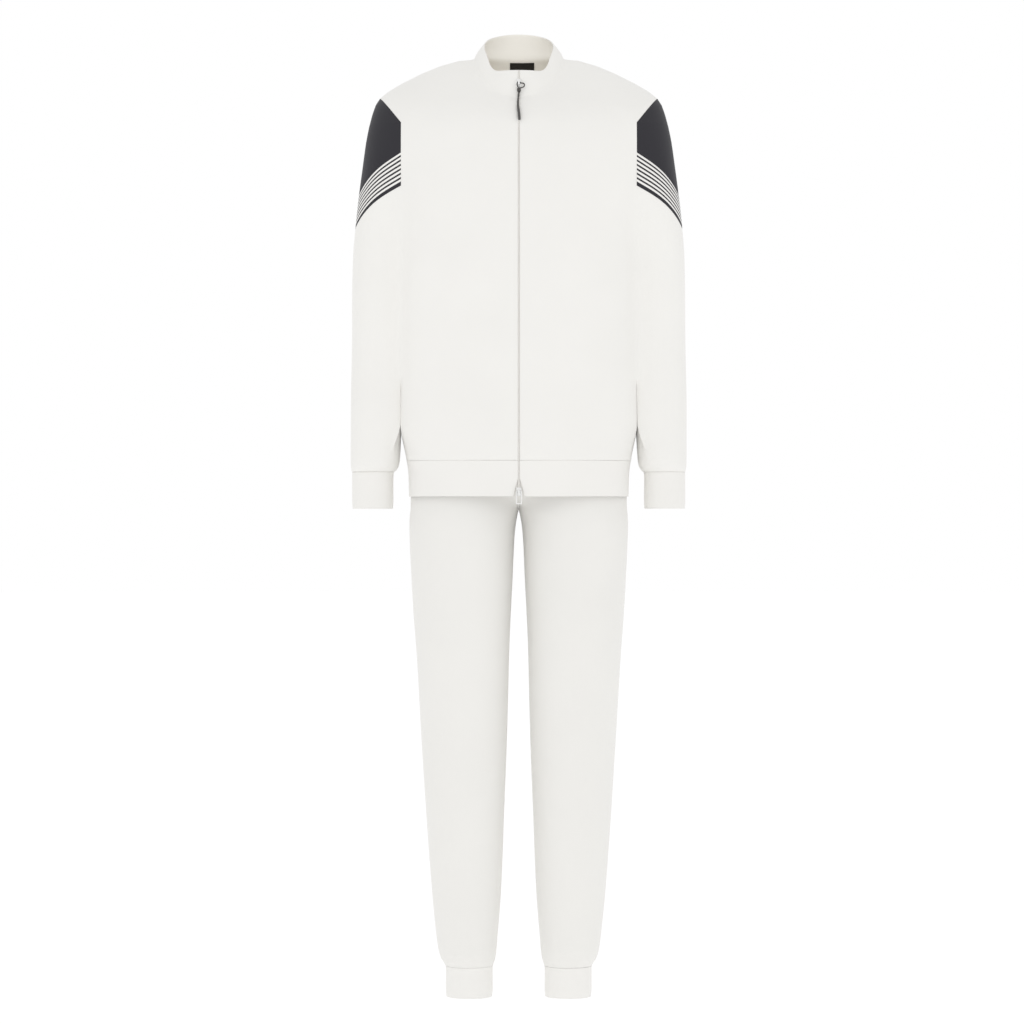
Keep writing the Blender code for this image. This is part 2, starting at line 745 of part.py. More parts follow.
# Zip: rows of the front from hem to collar top, and the centre line with its outward direction
def zip_rows():
    black, band, white = armhole_heights()
    rows = [torso_row(z, True) for z in HEM_HEIGHTS[::-1]]
    rows += [torso_row(z, True) for z in BODY_HEIGHTS[-2::-1]]
    rows += [torso_row(z, True) for z in (black[1:] + band + white)[::-1]]
    rows += shoulder_grid(True)[::-1]
    rows += collar_grid(True)[1:]
    return rows


def on_row(row, x):
    i = next((i for i in range(1, len(row)) if row[i].x >= x), len(row) - 1)
    share = (x - row[i - 1].x) / (row[i].x - row[i - 1].x)
    return row[i - 1].lerp(row[i], share)


def centre_frames(rows):
    centres = [Vector((0.0, row[0].y, row[0].z)) for row in rows]
    frames = []
    for i, centre in enumerate(centres):
        ahead = centres[min(i + 1, len(centres) - 1)]
        behind = centres[max(i - 1, 0)]
        up = (ahead - behind).normalized()
        frames.append((centre, up, Vector((0.0, -up.z, up.y))))
    return frames


def strip(name, colour, sections):
    mesh = bmesh.new()
    rings = [[mesh.verts.new(point) for point in section] for section in sections]
    for a, b in zip(rings, rings[1:]):
        for i in range(len(a)):
            j = (i + 1) % len(a)
            mesh.faces.new((a[i], a[j], b[j], b[i]))
    mesh.faces.new(rings[0][::-1])
    mesh.faces.new(rings[-1])
    return to_object(name, mesh, colour, smooth=False)


def build_zip():
    rows = zip_rows()
    frames = centre_frames(rows)
    chain = []
    for centre, up, out in frames:
        front = centre - out * CHAIN_SINK
        back = front - out * CHAIN_THICK
        across = Vector((CHAIN_HALF, 0.0, 0.0))
        chain.append([front - across, front + across, back + across, back - across])
    strip("zip_chain", "zip_grey", chain)
    for side, word in ((1, "left"), (-1, "right")):
        tape = []
        for row, (centre, up, out) in zip(rows, frames):
            wide = TAPE_BODY_X if centre.z < LEVEL_Z else TAPE_COLLAR_X
            near = on_row(row, TAPE_INNER_X) - out * (WALL + LAY_GAP)
            far = on_row(row, wide) - out * (WALL + LAY_GAP)
            ring = [near, far, far - out * TAPE_THICK, near - out * TAPE_THICK]
            tape.append([Vector((p.x * side, p.y, p.z)) for p in ring])
        strip("zip_tape_" + word, "zip_grey", tape)


def centre_at(z):
    frames = centre_frames(zip_rows())
    i = next((i for i in range(1, len(frames)) if frames[i][0].z >= z), len(frames) - 1)
    low = frames[i - 1][0]
    high = frames[i][0]
    place = low.lerp(high, (z - low.z) / (high.z - low.z))
    up = (high - low).normalized()
    return place, up, Vector((0.0, -up.z, up.y))


def build_slider(name, z):
    place, up, out = centre_at(z)
    mesh = bmesh.new()
    loops = []
    for sign in (-1, 1):
        outer = []
        hole = []
        for p in SLIDER:
            at = place + up * p.along + out * p.out
            outer.append(mesh.verts.new(at + Vector((sign * p.half, 0.0, 0.0))))
            at = place + up * p.hole_along + out * p.hole_out
            hole.append(mesh.verts.new(at + Vector((sign * p.hole_half, 0.0, 0.0))))
        loops.append((outer, hole))
    (outer_a, hole_a), (outer_b, hole_b) = loops
    count = len(SLIDER)
    for i in range(count):
        j = (i + 1) % count
        mesh.faces.new((outer_a[i], outer_a[j], outer_b[j], outer_b[i]))
        mesh.faces.new((hole_a[j], hole_a[i], hole_b[i], hole_b[j]))
        mesh.faces.new((outer_a[j], outer_a[i], hole_a[i], hole_a[j]))
        mesh.faces.new((outer_b[i], outer_b[j], hole_b[j], hole_b[i]))
    return to_object(name, mesh, "slider_white", smooth=False)


def frame_loop(half, top, bottom, corner):
    points = []
    for x_sign, z_level, z_sign in ((1, top, 1), (-1, top, 1), (-1, bottom, -1), (1, bottom, -1)):
        mid = Vector((x_sign * (half - corner), 0.0, z_level - z_sign * corner))
        flat = Vector((0.0, 0.0, z_sign * corner))
        tall = Vector((x_sign * corner, 0.0, 0.0))
        ends = (mid + tall, mid + (tall + flat) * math.sqrt(0.5), mid + flat)
        points += ends if x_sign * z_sign > 0 else ends[::-1]
    return points


def build_tab():
    place, up, out = centre_at(BOTTOM_SLIDER_Z)
    pivot = place + out * HOLE_OUT
    outer = frame_loop(TAB_HALF, TAB_BAR / 2, -TAB_LENGTH, TAB_CORNER)
    inner = frame_loop(TAB_HALF - TAB_BAR, -TAB_BAR / 2, -TAB_LENGTH + TAB_BAR, TAB_CORNER / 2)
    mesh = bmesh.new()
    lift = Vector((0.0, TAB_THICK / 2, 0.0))
    loops = [[mesh.verts.new(p + s * lift) for p in loop] for s in (-1, 1) for loop in (outer, inner)]
    front_out, front_in, back_out, back_in = loops
    count = len(outer)
    for i in range(count):
        j = (i + 1) % count
        mesh.faces.new((front_out[i], front_out[j], front_in[j], front_in[i]))
        mesh.faces.new((back_out[j], back_out[i], back_in[i], back_in[j]))
        mesh.faces.new((front_out[j], front_out[i], back_out[i], back_out[j]))
        mesh.faces.new((front_in[i], front_in[j], back_in[j], back_in[i]))
    tab = to_object("bottom_pull_tab", mesh, "slider_white", smooth=False)
    tab.location = pivot
    return tab


def build_cord():
    place, up, out = centre_at(TOP_SLIDER_Z)
    right = [place + up * p.along + out * p.out + Vector((p.x, 0.0, 0.0)) for p in CORD_HALF_ROUTE]
    left = [Vector((-p.x, p.y, p.z)) for p in right[:0:-1]]
    route = left + right
    data = bpy.data.curves.new("pull_cord", "CURVE")
    data.dimensions = "3D"
    data.bevel_depth = CORD_RADIUS
    data.bevel_resolution = 2
    data.use_fill_caps = True
    line = data.splines.new("POLY")
    line.points.add(len(route) - 1)
    for point, at in zip(line.points, route):
        point.co = (at.x, at.y, at.z, 1.0)
    cord = bpy.data.objects.new("pull_cord", data)
    bpy.context.scene.collection.objects.link(cord)
    dress(cord, "cord_grey")
    last = CORD_HALF_ROUTE[-1]
    return place + up * (last.along - LAY_GAP) + out * last.out


def build_tail(start):
    frames = centre_frames(zip_rows())[::-1]
    path = [(centre, out) for centre, up, out in frames if centre.z < start.z]
    first, up, out = centre_at(start.z)
    path = [(first, out)] + path
    lengths = [0.0]
    for (a, _), (b, _) in zip(path, path[1:]):
        lengths.append(lengths[-1] + (b - a).length)
    mesh = bmesh.new()
    rings = []
    for p in TAIL:
        i = next(i for i in range(1, len(path)) if lengths[i] >= p.along)
        share = (p.along - lengths[i - 1]) / (lengths[i] - lengths[i - 1])
        at = path[i - 1][0].lerp(path[i][0], share)
        normal = path[i - 1][1].lerp(path[i][1], share).normalized()
        at = at + normal * (p.radius + 2 * LAY_GAP)
        ring = []
        for s in range(TAIL_SIDES):
            angle = 2 * math.pi * s / TAIL_SIDES
            spoke = Vector((math.cos(angle), 0.0, 0.0)) + normal * math.sin(angle)
            ring.append(mesh.verts.new(at + spoke * p.radius))
        rings.append(ring)
    for a, b in zip(rings, rings[1:]):
        for i in range(TAIL_SIDES):
            j = (i + 1) % TAIL_SIDES
            mesh.faces.new((a[i], a[j], b[j], b[i]))
    mesh.faces.new(rings[0][::-1])
    mesh.faces.new(rings[-1])
    return to_object("pull_tail", mesh, "cord_grey")


# Neck label inside the back, from the back's own points moved in
def build_label():
    tops = [neck_point(turn) for turn in neck_turns(False)]
    lows = level_row(False)
    sections = []
    for share in (LABEL_ROW_FROM, (LABEL_ROW_FROM + LABEL_ROW_TO) / 2, LABEL_ROW_TO):
        rows = [[shoulder_point(c, k / SHOULDER_ROWS, False, tops[c], lows[c])
                 for c in range(PANEL_COLUMNS)] for k in (0, 1, 2)]
        place = share * SHOULDER_ROWS
        step = int(place)
        row = [a.lerp(b, place - step) for a, b in zip(rows[step], rows[step + 1])]
        full = []
        for step in (-1.0, -0.5, 0.0, 0.5, 1.0):
            x = LABEL_MID_X + LABEL_HALF * step
            point = on_row(row, abs(x))
            full.append(Vector((x, point.y, point.z)))
        inward = []
        for p in full:
            inward.append(Vector((-p.x * LABEL_TURN, -NECK_BACK, -LABEL_TIP * NECK_BACK)).normalized())
        near = [p + n * (WALL + 2 * LAY_GAP) for p, n in zip(full, inward)]
        far = [p + n * LABEL_THICK for p, n in zip(near, inward)]
        sections.append(near + far[::-1])
    strip("neck_label", "label_black", sections)


def clear_scene():
    for thing in list(bpy.data.objects):
        bpy.data.objects.remove(thing, do_unlink=True)


def main():
    clear_scene()
    build_jacket()
    build_trousers()
    build_zip()
    build_slider("top_slider", TOP_SLIDER_Z)
    build_slider("bottom_slider", BOTTOM_SLIDER_Z)
    build_tab()
    build_tail(build_cord())
    build_label()


main()
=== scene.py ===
import math
from functools import lru_cache
import bpy
import bmesh
from mathutils import Matrix, Vector, noise


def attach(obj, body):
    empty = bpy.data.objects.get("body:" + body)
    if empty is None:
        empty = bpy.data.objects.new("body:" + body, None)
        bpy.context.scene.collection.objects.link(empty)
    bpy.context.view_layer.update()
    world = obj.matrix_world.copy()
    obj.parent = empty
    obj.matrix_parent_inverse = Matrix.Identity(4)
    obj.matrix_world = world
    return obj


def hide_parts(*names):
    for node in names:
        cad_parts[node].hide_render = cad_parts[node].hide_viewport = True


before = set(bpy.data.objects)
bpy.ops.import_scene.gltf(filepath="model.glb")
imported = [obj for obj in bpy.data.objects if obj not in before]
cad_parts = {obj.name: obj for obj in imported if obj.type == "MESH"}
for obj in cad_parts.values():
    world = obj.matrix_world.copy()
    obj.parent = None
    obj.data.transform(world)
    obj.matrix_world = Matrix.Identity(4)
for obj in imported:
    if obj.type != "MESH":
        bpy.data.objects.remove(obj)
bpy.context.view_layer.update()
body = "suit"

# Sizes of the suit, as in its CAD source
jacket = dict(levelZ=-0.107, blackEndZ=-0.154, bandEndZ=-0.204, underarmZ=-0.320, hemSeamZ=-0.626,
              hemEndZ=-0.681, cuffSeamZ=-0.643, cuffEndZ=-0.700, armholeX=0.181, stripeDrop=0.062,
              fallStraight=0.6, fallPower=4.0, ovalPower=3.0, sleevePower=2.5, edgeX=0.0013,
              flareX=0.0085, flareTopZ=-0.655, flarePower=0.8, shoulderBulge=0.10, frontBulge=0.3)
neck = dict(side=0.070, front=0.082, back=0.068, sideZ=0.001, frontDrop=0.069, frontPower=1.1,
            backRise=0.008)
collar = dict(side=0.054, midY=-0.004, depth=0.070, bulge=0.0025)
trousers = dict(waistZ=-0.430, waistEndZ=-0.470, crotchTopZ=-0.590, crotchZ=-0.701, blouseZ=-1.375,
                ankleSeamZ=-1.413, ankleEndZ=-1.461, hipPower=3.0, legPower=2.2, closePower=0.6)
touch = dict(splitZ=-0.507, sideColumns=5, fullZ=-0.563, endZ=-0.628, gap=0.00015, groove=0.007,
             torsoX=0.120)
cloth = dict(wall=0.0016, bandWall=0.0022, edge=0.0004, seamGap=0.00022, mergeGap=0.0001,
             curveSteps=72, rowStep=0.009, bandStep=0.0016, panelColumns=30, headColumns=20,
             legColumns=28, softRounds=((2, 36), (1, 8)), leastArea=0.31)

torsoRows = [
    dict(z=-0.107, side=0.1810, front=0.108, back=0.112),
    dict(z=-0.150, side=0.1810, front=0.115, back=0.119),
    dict(z=-0.205, side=0.1810, front=0.120, back=0.122),
    dict(z=-0.265, side=0.1810, front=0.1215, back=0.122),
    dict(z=-0.330, side=0.1810, front=0.120, back=0.118),
    dict(z=-0.420, side=0.1812, front=0.117, back=0.112),
    dict(z=-0.500, side=0.1815, front=0.115, back=0.112),
    dict(z=-0.560, side=0.1815, front=0.115, back=0.115),
    dict(z=-0.600, side=0.1783, front=0.1145, back=0.118),
    dict(z=-0.626, side=0.1745, front=0.113, back=0.119),
    dict(z=-0.634, side=0.1730, front=0.112, back=0.119),
    dict(z=-0.650, side=0.1716, front=0.1115, back=0.119),
    dict(z=-0.681, side=0.1710, front=0.1115, back=0.119),
]
capeRows = [
    dict(z=-0.107, half=0.2330),
    dict(z=-0.132, half=0.2380),
    dict(z=-0.180, half=0.2445),
    dict(z=-0.226, half=0.2504),
    dict(z=-0.265, half=0.2545),
    dict(z=-0.320, half=0.2583),
]
sleeveRows = [
    dict(z=-0.107, inner=0.1810, outer=0.2330, halfDepth=0.080, midY=0.0),
    dict(z=-0.180, inner=0.1810, outer=0.2445, halfDepth=0.077, midY=0.0),
    dict(z=-0.226, inner=0.1810, outer=0.2504, halfDepth=0.073, midY=0.0),
    dict(z=-0.265, inner=0.1810, outer=0.2545, halfDepth=0.070, midY=0.0),
    dict(z=-0.295, inner=0.1810, outer=0.2572, halfDepth=0.0675, midY=0.0),
    dict(z=-0.320, inner=0.1812, outer=0.2583, halfDepth=0.0655, midY=0.0),
    dict(z=-0.362, inner=0.1818, outer=0.2593, halfDepth=0.0625, midY=-0.002),
    dict(z=-0.437, inner=0.1820, outer=0.2596, halfDepth=0.057, midY=-0.006),
    dict(z=-0.520, inner=0.1822, outer=0.2610, halfDepth=0.051, midY=-0.010),
    dict(z=-0.590, inner=0.1836, outer=0.2612, halfDepth=0.047, midY=-0.012),
    dict(z=-0.622, inner=0.1848, outer=0.2612, halfDepth=0.0445, midY=-0.013),
    dict(z=-0.634, inner=0.1870, outer=0.2608, halfDepth=0.0415, midY=-0.013),
    dict(z=-0.640, inner=0.1905, outer=0.2600, halfDepth=0.037, midY=-0.013),
    dict(z=-0.643, inner=0.1938, outer=0.2592, halfDepth=0.0335, midY=-0.013),
    dict(z=-0.650, inner=0.1950, outer=0.2590, halfDepth=0.0325, midY=-0.013),
    dict(z=-0.690, inner=0.1950, outer=0.2590, halfDepth=0.0320, midY=-0.013),
    dict(z=-0.700, inner=0.1956, outer=0.2584, halfDepth=0.0315, midY=-0.013),
]
dropRows = [
    dict(z=-0.204, drop=1.00), dict(z=-0.226, drop=0.94), dict(z=-0.252, drop=0.84),
    dict(z=-0.280, drop=0.70), dict(z=-0.303, drop=0.58), dict(z=-0.320, drop=0.48),
    dict(z=-0.362, drop=0.24), dict(z=-0.425, drop=0.04), dict(z=-0.500, drop=0.0),
    dict(z=-0.643, drop=0.0),
]
ridgeRows = [
    dict(x=0.0700, z=0.0010), dict(x=0.0920, z=-0.0010), dict(x=0.1220, z=-0.0095),
    dict(x=0.1500, z=-0.0210), dict(x=0.1830, z=-0.0375), dict(x=0.2040, z=-0.0500),
    dict(x=0.2165, z=-0.0605), dict(x=0.2230, z=-0.0710), dict(x=0.2280, z=-0.0860),
    dict(x=0.2330, z=-0.1070),
]
apexRow = 6
collarRim = [
    dict(z=1.0, top=0.0490), dict(z=0.42, top=0.0345), dict(z=0.0, top=0.0215),
    dict(z=-0.30, top=0.0080), dict(z=-0.45, top=-0.0020), dict(z=-0.60, top=-0.0155),
    dict(z=-0.757, top=-0.0235), dict(z=-1.0, top=-0.0250),
]
hipRows = [
    dict(z=-0.430, side=0.148, front=0.098, back=0.098),
    dict(z=-0.470, side=0.152, front=0.100, back=0.103),
    dict(z=-0.560, side=0.1615, front=0.101, back=0.106),
    dict(z=-0.626, side=0.1674, front=0.1045, back=0.1107),
    dict(z=-0.681, side=0.1684, front=0.1045, back=0.1107),
    dict(z=-0.701, side=0.1693, front=0.103, back=0.1095),
]
legRows = [
    dict(z=-0.560, inner=0.0, outer=0.1615, halfDepth=0.0960, midY=0.003),
    dict(z=-0.681, inner=0.0, outer=0.1684, halfDepth=0.0955, midY=0.004),
    dict(z=-0.701, inner=0.0, outer=0.1690, halfDepth=0.0960, midY=0.004),
    dict(z=-0.715, inner=0.0030, outer=0.1705, halfDepth=0.0965, midY=0.004),
    dict(z=-0.741, inner=0.0062, outer=0.1702, halfDepth=0.0960, midY=0.0035),
    dict(z=-0.803, inner=0.0094, outer=0.1672, halfDepth=0.0910, midY=0.0015),
    dict(z=-0.866, inner=0.0125, outer=0.1638, halfDepth=0.0860, midY=-0.001),
    dict(z=-0.928, inner=0.0148, outer=0.1592, halfDepth=0.0810, midY=-0.002),
    dict(z=-1.053, inner=0.0180, outer=0.1520, halfDepth=0.0740, midY=0.0),
    dict(z=-1.178, inner=0.0226, outer=0.1443, halfDepth=0.0680, midY=0.005),
    dict(z=-1.303, inner=0.0280, outer=0.1350, halfDepth=0.0590, midY=0.008),
    dict(z=-1.365, inner=0.0328, outer=0.1287, halfDepth=0.0530, midY=0.009),
    dict(z=-1.388, inner=0.0345, outer=0.1253, halfDepth=0.0505, midY=0.009),
    dict(z=-1.401, inner=0.0362, outer=0.1215, halfDepth=0.0460, midY=0.009),
    dict(z=-1.408, inner=0.0382, outer=0.1170, halfDepth=0.0415, midY=0.009),
    dict(z=-1.413, inner=0.0398, outer=0.1146, halfDepth=0.0385, midY=0.009),
    dict(z=-1.420, inner=0.0406, outer=0.1139, halfDepth=0.0372, midY=0.009),
    dict(z=-1.450, inner=0.0406, outer=0.1139, halfDepth=0.0368, midY=0.009),
    dict(z=-1.461, inner=0.0414, outer=0.1131, halfDepth=0.0360, midY=0.009),
]


# Curves and tables
def mix(a, b, share):
    return a + (b - a) * share


def ease(t):
    t = min(max(t, 0.0), 1.0)
    return t * t * (3.0 - 2.0 * t)


def readTable(table, z):
    if z >= table[0]["z"]:
        return table[0]
    if z <= table[-1]["z"]:
        return table[-1]
    low = next(i for i in range(1, len(table)) if table[i]["z"] <= z)
    a, b = table[low - 1], table[low]
    before, after = table[max(low - 2, 0)], table[min(low + 1, len(table) - 1)]
    span = b["z"] - a["z"]
    t = (z - a["z"]) / span
    found = {}
    for key in a:
        slopeIn = (b[key] - before[key]) / (b["z"] - before["z"]) * span
        slopeOut = (after[key] - a[key]) / (after["z"] - a["z"]) * span
        found[key] = (a[key] * (2 * t ** 3 - 3 * t ** 2 + 1) + b[key] * (3 * t ** 2 - 2 * t ** 3)
                      + slopeIn * (t ** 3 - 2 * t ** 2 + t) + slopeOut * (t ** 3 - t ** 2))
    return found


def readStraight(table, z, key):
    if z >= table[0]["z"]:
        return table[0][key]
    for a, b in zip(table, table[1:]):
        if z >= b["z"]:
            return mix(a[key], b[key], (z - a["z"]) / (b["z"] - a["z"]))
    return table[-1][key]


def arc(midX, midY, radiusX, radiusY, power, start, end):
    points = []
    for i in range(cloth["curveSteps"] + 1):
        angle = mix(start, end, i / cloth["curveSteps"])
        c, s = math.cos(angle), math.sin(angle)
        points.append(Vector((midX + radiusX * math.copysign(abs(c) ** (2 / power), c),
                              midY + radiusY * math.copysign(abs(s) ** (2 / power), s))))
    return points


def lengthsOf(points):
    lengths = [0.0]
    for a, b in zip(points, points[1:]):
        lengths.append(lengths[-1] + (b - a).length)
    return lengths


def sample(points, shares, lead=0.0):
    lengths = lengthsOf(points)
    placed = []
    k = 1
    for share in shares:
        target = mix(lead, lengths[-1], share)
        while k < len(points) - 1 and lengths[k] < target:
            k += 1
        step = lengths[k] - lengths[k - 1]
        t = (target - lengths[k - 1]) / step if step > 0 else 0.0
        placed.append(points[k - 1].lerp(points[k], min(max(t, 0.0), 1.0)))
    return placed


def evenShares(count):
    return [i / count for i in range(count + 1)]


def fineHeights(top, end, step=None):
    count = max(2, round((top - end) / (step or cloth["rowStep"])))
    return [mix(top, end, share) for share in evenShares(count)]


def closingShares(z, top, end, shares):
    t = min(max((z - top) / (end - top), 0.0), 1.0)
    seam = 1.0 - math.sqrt(1.0 - t * t)
    return [mix(seam, ease(t), share ** trousers["closePower"]) for share in shares]


def blendRows(first, second, shares):
    return [a.lerp(b, share) for a, b, share in zip(first, second, shares)]


# Rows round the torso, sleeves and legs, all in the +X half
def frontEdge(z):
    if z >= jacket["flareTopZ"]:
        return jacket["edgeX"]
    share = (z - jacket["flareTopZ"]) / (jacket["hemEndZ"] - jacket["flareTopZ"])
    return mix(jacket["edgeX"], jacket["flareX"], share ** jacket["flarePower"])


def valleyAngle(outer):
    return math.acos((jacket["armholeX"] / outer) ** (jacket["ovalPower"] / 2))


def touchOf(z):
    # How far sleeve and body are pressed together at a height, and the plane where they meet
    size = readTable(sleeveRows, z)
    share = ease((z - touch["endZ"]) / (touch["fullZ"] - touch["endZ"]))
    return share, size["inner"], size["halfDepth"] - touch["groove"], size["midY"]


def pressOut(outline, start, plane, low, high):
    # Stretches a rounded side from start until it lies on the plane between two depths
    far = plane - start
    ends = [p for p in outline if (p.x - start) * far > 0 and low <= p.y <= high]
    if not ends:
        return outline
    scale = abs(far) / min(abs(p.x - start) for p in ends)
    bent = []
    for p in outline:
        x = p.x
        if (x - start) * far > 0:
            x = start + math.copysign(min(abs(x - start) * scale, abs(far)), far)
        bent.append(Vector((x, p.y)))
    return bent


def cutAt(outline, y, front):
    return [p for p in outline if (p.y < y if front else p.y > y)]


def easeDown(z):
    return ease((z - jacket["levelZ"]) / (jacket["underarmZ"] - jacket["levelZ"]))


def torsoOutline(z, front):
    # From the centre to the side, and the depth at which the side meets the sleeve
    size = readTable(torsoRows, z)
    depth = -size["front"] if front else size["back"]
    outline = arc(0, 0, size["side"], depth, jacket["ovalPower"], math.pi / 2, 0)
    press, inner, deep, midY = touchOf(z)
    plane = inner - (touch["gap"] if z < touch["splitZ"] else 0.0)
    if press > 0.0:
        side = plane = mix(size["side"], plane, press ** 2)
        outline = pressOut(outline, touch["torsoX"], side, midY - deep * press, midY + deep * press)
        outline = cutAt(outline, midY * press, front) + [Vector((side, midY * press))]
    return outline, midY - deep if front else midY + deep, plane, press


def crossing(outline, y, plane, press):
    i = next(i for i in range(1, len(outline)) if (outline[i].y - y) * (outline[0].y - y) <= 0)
    a, b = outline[i - 1], outline[i]
    corner = a.lerp(b, (y - a.y) / (b.y - a.y))
    corner.x = mix(corner.x, plane, press)
    return outline[:i] + [corner], [corner] + outline[i:]


def torsoRow(z, front, shares):
    outline, *meeting = torsoOutline(z, front)
    lead = frontEdge(z) if front else 0.0
    if z > touch["splitZ"]:
        outline = crossing(outline, *meeting)[0]
    row = sample(outline, shares, lead)
    if z > jacket["underarmZ"]:
        outer = readTable(capeRows, z)["half"]
        depth = outline[0].y
        cape = arc(0, 0, outer, depth, jacket["ovalPower"], math.pi / 2, valleyAngle(outer))
        row = blendRows(sample(cape, shares, lead), row, [easeDown(z)] * len(shares))
    return [Vector((p.x, p.y, z)) for p in row]


def torsoSplitRow(z, front):
    # The front or back with its own columns, then the side that lies against the sleeve
    count = touch["sideColumns"]
    if z > touch["splitZ"]:
        row = torsoRow(z, front, evenShares(cloth["panelColumns"]))
        return row + [row[-1]] * count
    near, side = crossing(*torsoOutline(z, front))
    row = sample(near, evenShares(cloth["panelColumns"]), frontEdge(z) if front else 0.0)
    row += sample(side, evenShares(count))[1:]
    return [Vector((p.x, p.y, z)) for p in row]


def sleeveOutline(z, front):
    size = readTable(sleeveRows, z)
    radius, mid = (size["outer"] - size["inner"]) / 2, (size["outer"] + size["inner"]) / 2
    sign = -1 if front else 1
    ring = arc(mid, size["midY"], radius, sign * size["halfDepth"], jacket["sleevePower"],
               math.pi, 0)
    press, inner, deep, midY = touchOf(z)
    if press > 0.0:
        ring = pressOut(ring, mid, inner, midY - deep * press, midY + deep * press)
    return ring, midY + sign * deep, inner, press


def sleeveHalf(z, front, shares):
    ring, *meeting = sleeveOutline(z, front)
    if z > touch["splitZ"]:
        ring = crossing(ring, *meeting)[1]
    half = sample(ring, shares)
    if z > jacket["underarmZ"]:
        body = readTable(torsoRows, z)
        outer = readTable(capeRows, z)["half"]
        reach = -body["front"] if front else body["back"]
        cape = arc(0, 0, outer, reach, jacket["ovalPower"], valleyAngle(outer), 0)
        half = blendRows(sample(cape, shares), half, [easeDown(z)] * len(shares))
    return [Vector((p.x, p.y, z)) for p in half]


def sleeveSplitRow(z):
    count = touch["sideColumns"]
    if z > touch["splitZ"]:
        row = sleeveRow(z, readStraight(dropRows, z, "drop"))
        return [row[0]] * count + row + [row[-1]] * count
    halves = []
    for front in (True, False):
        side, near = crossing(*sleeveOutline(z, front))
        half = sample(side, evenShares(count)) + sample(near, evenShares(cloth["headColumns"]))[1:]
        halves.append([Vector((p.x, p.y, z)) for p in half])
    return halves[0] + halves[1][-2::-1]


@lru_cache(maxsize=None)
def sleeveRow(z, drop):
    count = cloth["headColumns"]
    shares = evenShares(count)
    if drop == 0.0:
        return sleeveHalf(z, True, shares) + sleeveHalf(z, False, shares)[-2::-1]
    row = []
    for front in (True, False):
        half = []
        for i, share in enumerate(shares):
            ring = sleeveHalf(z - jacket["stripeDrop"] * drop * share, front, shares)
            across = (ring[i].x - ring[0].x) / (ring[-1].x - ring[0].x)
            across = mix(across ** jacket["fallPower"], across, jacket["fallStraight"])
            half.append(sleeveHalf(z - jacket["stripeDrop"] * drop * across, front, shares)[i])
        row += half if front else half[-2::-1]
    return row


def legHalf(z, front, shares):
    size = readTable(legRows, z)
    inner = 0.0 if z >= trousers["crotchZ"] else size["inner"]
    radius, mid = (size["outer"] - inner) / 2, (size["outer"] + inner) / 2
    sign = -1 if front else 1
    ring = arc(mid, size["midY"], radius, sign * size["halfDepth"], trousers["legPower"],
               math.pi, 0)
    half = sample(ring, shares)
    if z > trousers["crotchZ"]:
        hips = readTable(hipRows, z)
        reach = -hips["front"] if front else hips["back"]
        around = arc(0, 0, hips["side"], reach, trousers["hipPower"], math.pi / 2, 0)
        turned = closingShares(z, trousers["crotchTopZ"], trousers["crotchZ"], shares)
        half = blendRows(sample(around, shares), half, turned)
    return [Vector((p.x, p.y, z)) for p in half]


def legRow(z, shares):
    front, back = legHalf(z, True, shares), legHalf(z, False, shares)
    front[-1] = (front[-1] + back[-1]) / 2
    return front + back[-2::-1]


# Shoulder and collar
def neckPoint(turn):
    angle = turn * math.pi / 2
    lean = math.cos(angle)
    x = neck["side"] * math.sin(angle)
    if turn <= 1.0:
        drop = neck["frontDrop"] * abs(lean) ** neck["frontPower"]
        return Vector((x, -neck["front"] * lean, neck["sideZ"] - drop))
    return Vector((x, -neck["back"] * lean, neck["sideZ"] - neck["backRise"] * lean))


def neckTurns(front, shares):
    first = math.asin(jacket["edgeX"] / neck["side"]) / (math.pi / 2) if front else 0.0
    turns = [mix(first, 1.0, share) for share in shares]
    return turns if front else [2.0 - turn for turn in turns]


def ridgeShares(k):
    points = [Vector((row["x"], row["z"])) for row in ridgeRows]
    place = sample(points, [k])[0]
    span = points[-1] - points[0]
    return (place.x - points[0].x) / span.x, (place.y - points[0].y) / span.y


def capeShares():
    # Columns over the panel, then over the head of the sleeve, as shares of the neck's quarter turn
    panel = [share / 2 for share in evenShares(cloth["panelColumns"])]
    head = [0.5 + share / 2 for share in evenShares(cloth["headColumns"])]
    return panel + head[1:]


def levelRow(front):
    panel = torsoRow(jacket["levelZ"], front, evenShares(cloth["panelColumns"]))
    head = sleeveHalf(jacket["levelZ"], front, evenShares(cloth["headColumns"]))
    return panel + head[1:]


def shoulderPoint(share, k, front, top, low):
    sideways = math.sin(math.pi / 2 * share) ** 2
    across, down = ridgeShares(k)
    bulge = jacket["shoulderBulge"] * math.sin(math.pi * k)
    plain = k + bulge * (jacket["frontBulge"] if front else 1.0)
    out, fall = mix(plain, across, sideways), mix(k, down, sideways)
    return Vector((mix(top.x, low.x, out), mix(top.y, low.y, out), mix(top.z, low.z, fall)))


@lru_cache(maxsize=None)
def shoulderLines(front):
    # Neck points, level points and, for each column, the share of the way down to the black seam
    halvings = 24
    shares = capeShares()
    tops = [neckPoint(turn) for turn in neckTurns(front, shares)]
    lows = levelRow(front)
    apex = ridgeRows[apexRow]
    ends = []
    for share, top, low in zip(shares, tops, lows):
        near, far = 0.0, 1.0
        for step in range(halvings):
            k = (near + far) / 2
            p = shoulderPoint(share, k, front, top, low)
            past = ((p.x - jacket["armholeX"]) * (apex["z"] - jacket["levelZ"])
                    - (p.z - jacket["levelZ"]) * (apex["x"] - jacket["armholeX"]))
            near, far = (near, k) if past > 0 else (k, far)
        ends.append(1.0 if share <= 0.5 else (near + far) / 2)
    return shares, tops, lows, ends


